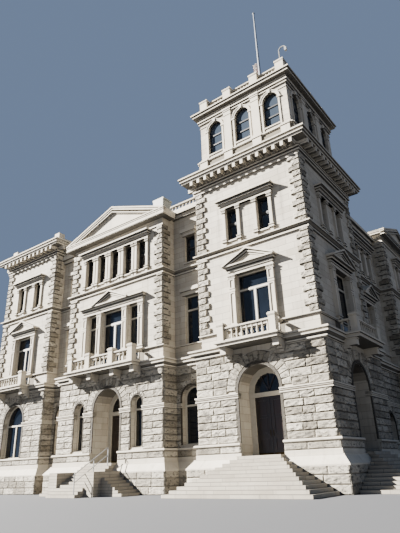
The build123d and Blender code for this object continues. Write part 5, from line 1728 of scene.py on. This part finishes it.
@dataclass
class Doorways:
    """Mouldings, panels and pulls of the doors, and the bars of their fanlights."""

    clear: float = 0.95
    inset: float = 0.05
    leaf: float = 0.07
    stile: float = 0.15
    moulding: float = 0.06
    half_bar: float = 0.03

    def build(self) -> None:
        """Dress every leaf and fanlight."""
        bars, w, spring = Draft(), self.half_bar, LEVELS.spring
        for name, (face, thick) in DOORWAYS.items():
            back = self.inset - thick
            for side, hand in ((-1, "left"), (1, "right")):
                self.dress_leaf(f"{name}_door_{hand}", face, side, back + 0.02 + self.leaf)
            for turn in (60, 90, 120):
                c, s = math.cos(math.radians(turn)), math.sin(math.radians(turn))
                x, z = self.clear * c, spring + self.clear * s
                outline = [(-w * s, spring + w * c), (w * s, spring - w * c), (x + w * s, z - w * c),
                           (x - w * s, z + w * c)]
                bars.plate(face, outline, (back + 0.08, back + 0.135))
        bars.finish("fanlight_bars", OAK, "frame_paint")

    def dress_leaf(self, leaf: str, face: Face, side: int, front: float) -> None:
        """Add raised panels, their mouldings, a kick plate and a pull to one leaf.

        Args:
            leaf: name of the leaf's node and body.
            face: the wall's face.
            side: -1 for the left leaf and 1 for the right one.
            front: distance outwards of the leaf's own front.
        """
        panels, trim, metal = Draft(), Draft(), Draft()
        u0, u1 = sorted((side * 0.01, side * (self.clear - 0.005)))
        low, high, m = LEVELS.floor + 0.01, LEVELS.transom - 0.01, self.moulding
        field = (u0 + self.stile, u1 - self.stile)
        inner = (field[0] + m, field[1] - m)
        for z0, z1 in ((low + 0.15, low + 0.9), (low + 1.05, high - 0.15)):
            trim.border(face, field, (z0, z1), m, (front - 0.018, front + 0.012))
            rail = span((z0 + z1) / 2, 0.05)
            parts = [(z0 + m, z1 - m)] if z1 - z0 < 1 else [(z0 + m, rail[0]), (rail[1], z1 - m)]
            for p0, p1 in parts:
                panels.bar(face, (inner[0] + 0.04, inner[1] - 0.04), (p0 + 0.04, p1 - 0.04), (front - 0.018, front))
            if len(parts) > 1:
                trim.bar(face, inner, rail, (front - 0.018, front + 0.006))
        metal.bar(face, (u0 + 0.03, u1 - 0.03), (low + 0.02, low + 0.13), (front, front + 0.003))
        for z, out in (((low + 0.98, low + 1.28), (0.03, 0.05)), ((low + 0.98, low + 1.00), (0.0, 0.03)),
                       ((low + 1.26, low + 1.28), (0.0, 0.03))):
            metal.bar(face, span(side * 0.09, 0.012), z, (front + out[0], front + out[1]))
        trim.finish(f"{leaf}_mouldings", OAK, "door_wood", leaf)
        panels.finish(f"{leaf}_panels", PANEL_OAK, "door_wood", leaf)
        metal.finish(f"{leaf}_furniture", BRASS, "lamp_metal", leaf)


@dataclass
class Flag:
    """The pleated flag that hangs at its pole."""

    flat: Pair = (1.5, 2.3)
    wide: float = 0.5
    swing: float = 0.072
    pleats: float = 6.4
    across: int = 180
    down: int = 46

    def build(self) -> None:
        """Hang the cloth in upright pleats."""
        low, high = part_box("flag")
        x1, y = high.x - 0.004, (low.y + high.y) / 2
        height, row = self.flat[1] * 0.985, self.across + 1
        points = []
        for j in range(self.down + 1):
            t = j / self.down
            for k in range(row):
                s = k / self.across
                wave = 2 * math.pi * self.pleats * s + 0.9 * math.sin(2.2 * t) + 0.35 * math.sin(5 * t + 3 * s)
                reach = self.wide * (0.92 - 0.18 * math.sin(math.pi * t))
                out = self.swing * (0.75 + 0.25 * math.sin(3.0 * t + 4 * s)) * min(1.0, 8 * s + 0.05)
                points.append((x1 - reach * s, y + out * math.sin(wave),
                               high.z - 0.01 - height * t + 0.03 * s * math.sin(2.5 * s + 1.1) * (1 - t)))
        corners = [j * row + k for j in range(self.down) for k in range(self.across)]
        mesh = bpy.data.meshes.new("flag_cloth")
        mesh.from_pydata(points, [], [[a, a + row, a + row + 1, a + 1] for a in corners])
        layer = mesh.uv_layers.new(name="cloth")
        for loop in mesh.loops:
            j, k = divmod(loop.vertex_index, row)
            layer.data[loop.index].uv = (1 - j / self.down, k / self.across)
        mesh.polygons.foreach_set("use_smooth", [True] * len(mesh.polygons))
        mesh.materials.append(CLOTH.material())
        flag = linked(mesh)
        dress(flag, stands_for=("flag",))


@dataclass
class Scene:
    """Floor, light and camera of the picture."""

    place: Triple = (23.430, -33.804, 1.301)
    right: Triple = (0.79529, 0.60529, -0.03366)
    up: Triple = (0.25899, -0.28903, 0.92162)
    backward: Triple = (0.54812, -0.74167, -0.38663)
    lens: float = 32.56
    sensor: float = 36.0
    far: float = 500.0
    floor: float = 300.0
    floor_drop: float = 0.002
    sun: Triple = (0.74, 0.45, -0.50)
    sun_energy: float = 44.0
    sun_angle: float = 0.012
    sun_colour: Triple = (1.0, 0.965, 0.91)
    sky: str = "#A3BCE6"
    sky_strength: float = 0.44

    def build(self) -> None:
        """Set the camera, the floor, the sun and the sky."""
        scene = bpy.context.scene
        lens = bpy.data.cameras.new("camera")
        lens.lens, lens.sensor_width, lens.sensor_fit, lens.clip_end = self.lens, self.sensor, "AUTO", self.far
        camera = bpy.data.objects.new("camera", lens)
        axes = Matrix((self.right, self.up, self.backward)).transposed()
        camera.matrix_world = Matrix.Translation(self.place) @ axes.to_4x4()
        scene.collection.objects.link(camera)
        scene.camera = camera
        mesh = bpy.data.meshes.new("studio_floor")
        square = rectangle(span(0, self.floor), span(0, self.floor))
        mesh.from_pydata([(x, y, -self.floor_drop) for x, y in square], [], [[0, 1, 2, 3]])
        mesh.materials.append(FLOOR.material())
        ground = linked(mesh)
        light = bpy.data.lights.new("sun", "SUN")
        light.energy, light.angle, light.color = self.sun_energy, self.sun_angle, self.sun_colour
        sun = bpy.data.objects.new("sun", light)
        sun.rotation_euler = Vector(self.sun).to_track_quat("-Z", "Y").to_euler()
        scene.collection.objects.link(sun)
        scene.world = bpy.data.worlds.new("sky")
        scene.world.use_nodes = True
        back = scene.world.node_tree.nodes["Background"]
        back.inputs["Color"].default_value = linear(self.sky)
        back.inputs["Strength"].default_value = self.sky_strength


def finish_frame() -> None:
    """Give every CAD node that shows its finish, by its material slot and name."""
    by_slot = {"granite": TOOLED, "floor_stone": PAVING, "door_wood": OAK, "frame_paint": PAINT,
               "window_glass": GLASS, "pole_paint": POLE, "lamp_metal": LAMP, "rail_metal": RAIL,
               "flag_cloth": CLOTH, "roof_metal": ROOF}
    walls = ("upper_pavilion_front_walls", "upper_pavilion_side_walls", "upper_recessed_walls",
             "ground_pavilion_front_walls", "ground_pavilion_side_walls", "ground_recessed_walls",
             "entrance_walls_left", "entrance_walls_right", "front_entrance_arches", "side_entrance_arch",
             "belfry_walls", "belfry_piers", "attic_walls", "left_parapet")
    slots = {part["node"]: part["material_slot"] for part in frame["record"]["subparts"]}
    for name, thing in frame["nodes"].items():
        finish = ASHLAR if name in walls else STEP if name.endswith("steps") else by_slot[slots[name]]
        for holder in thing.material_slots:
            holder.material = finish.material()
        if not thing.material_slots:
            thing.data.materials.append(finish.material())


def main() -> None:
    """Dress the building, piece by piece."""
    logging.basicConfig(level=logging.INFO, format="%(message)s")
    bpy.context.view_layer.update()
    finish_frame()
    for part in (RockFacedMasonry(), Mouldings(), Roofs(), WindowStone(), Joinery(), Belfry(), Balustrades(),
                 Doorways(), Flag(), Scene()):
        LOG.info("%s", type(part).__name__)
        part.build()


if __name__ == "__main__":
    main()
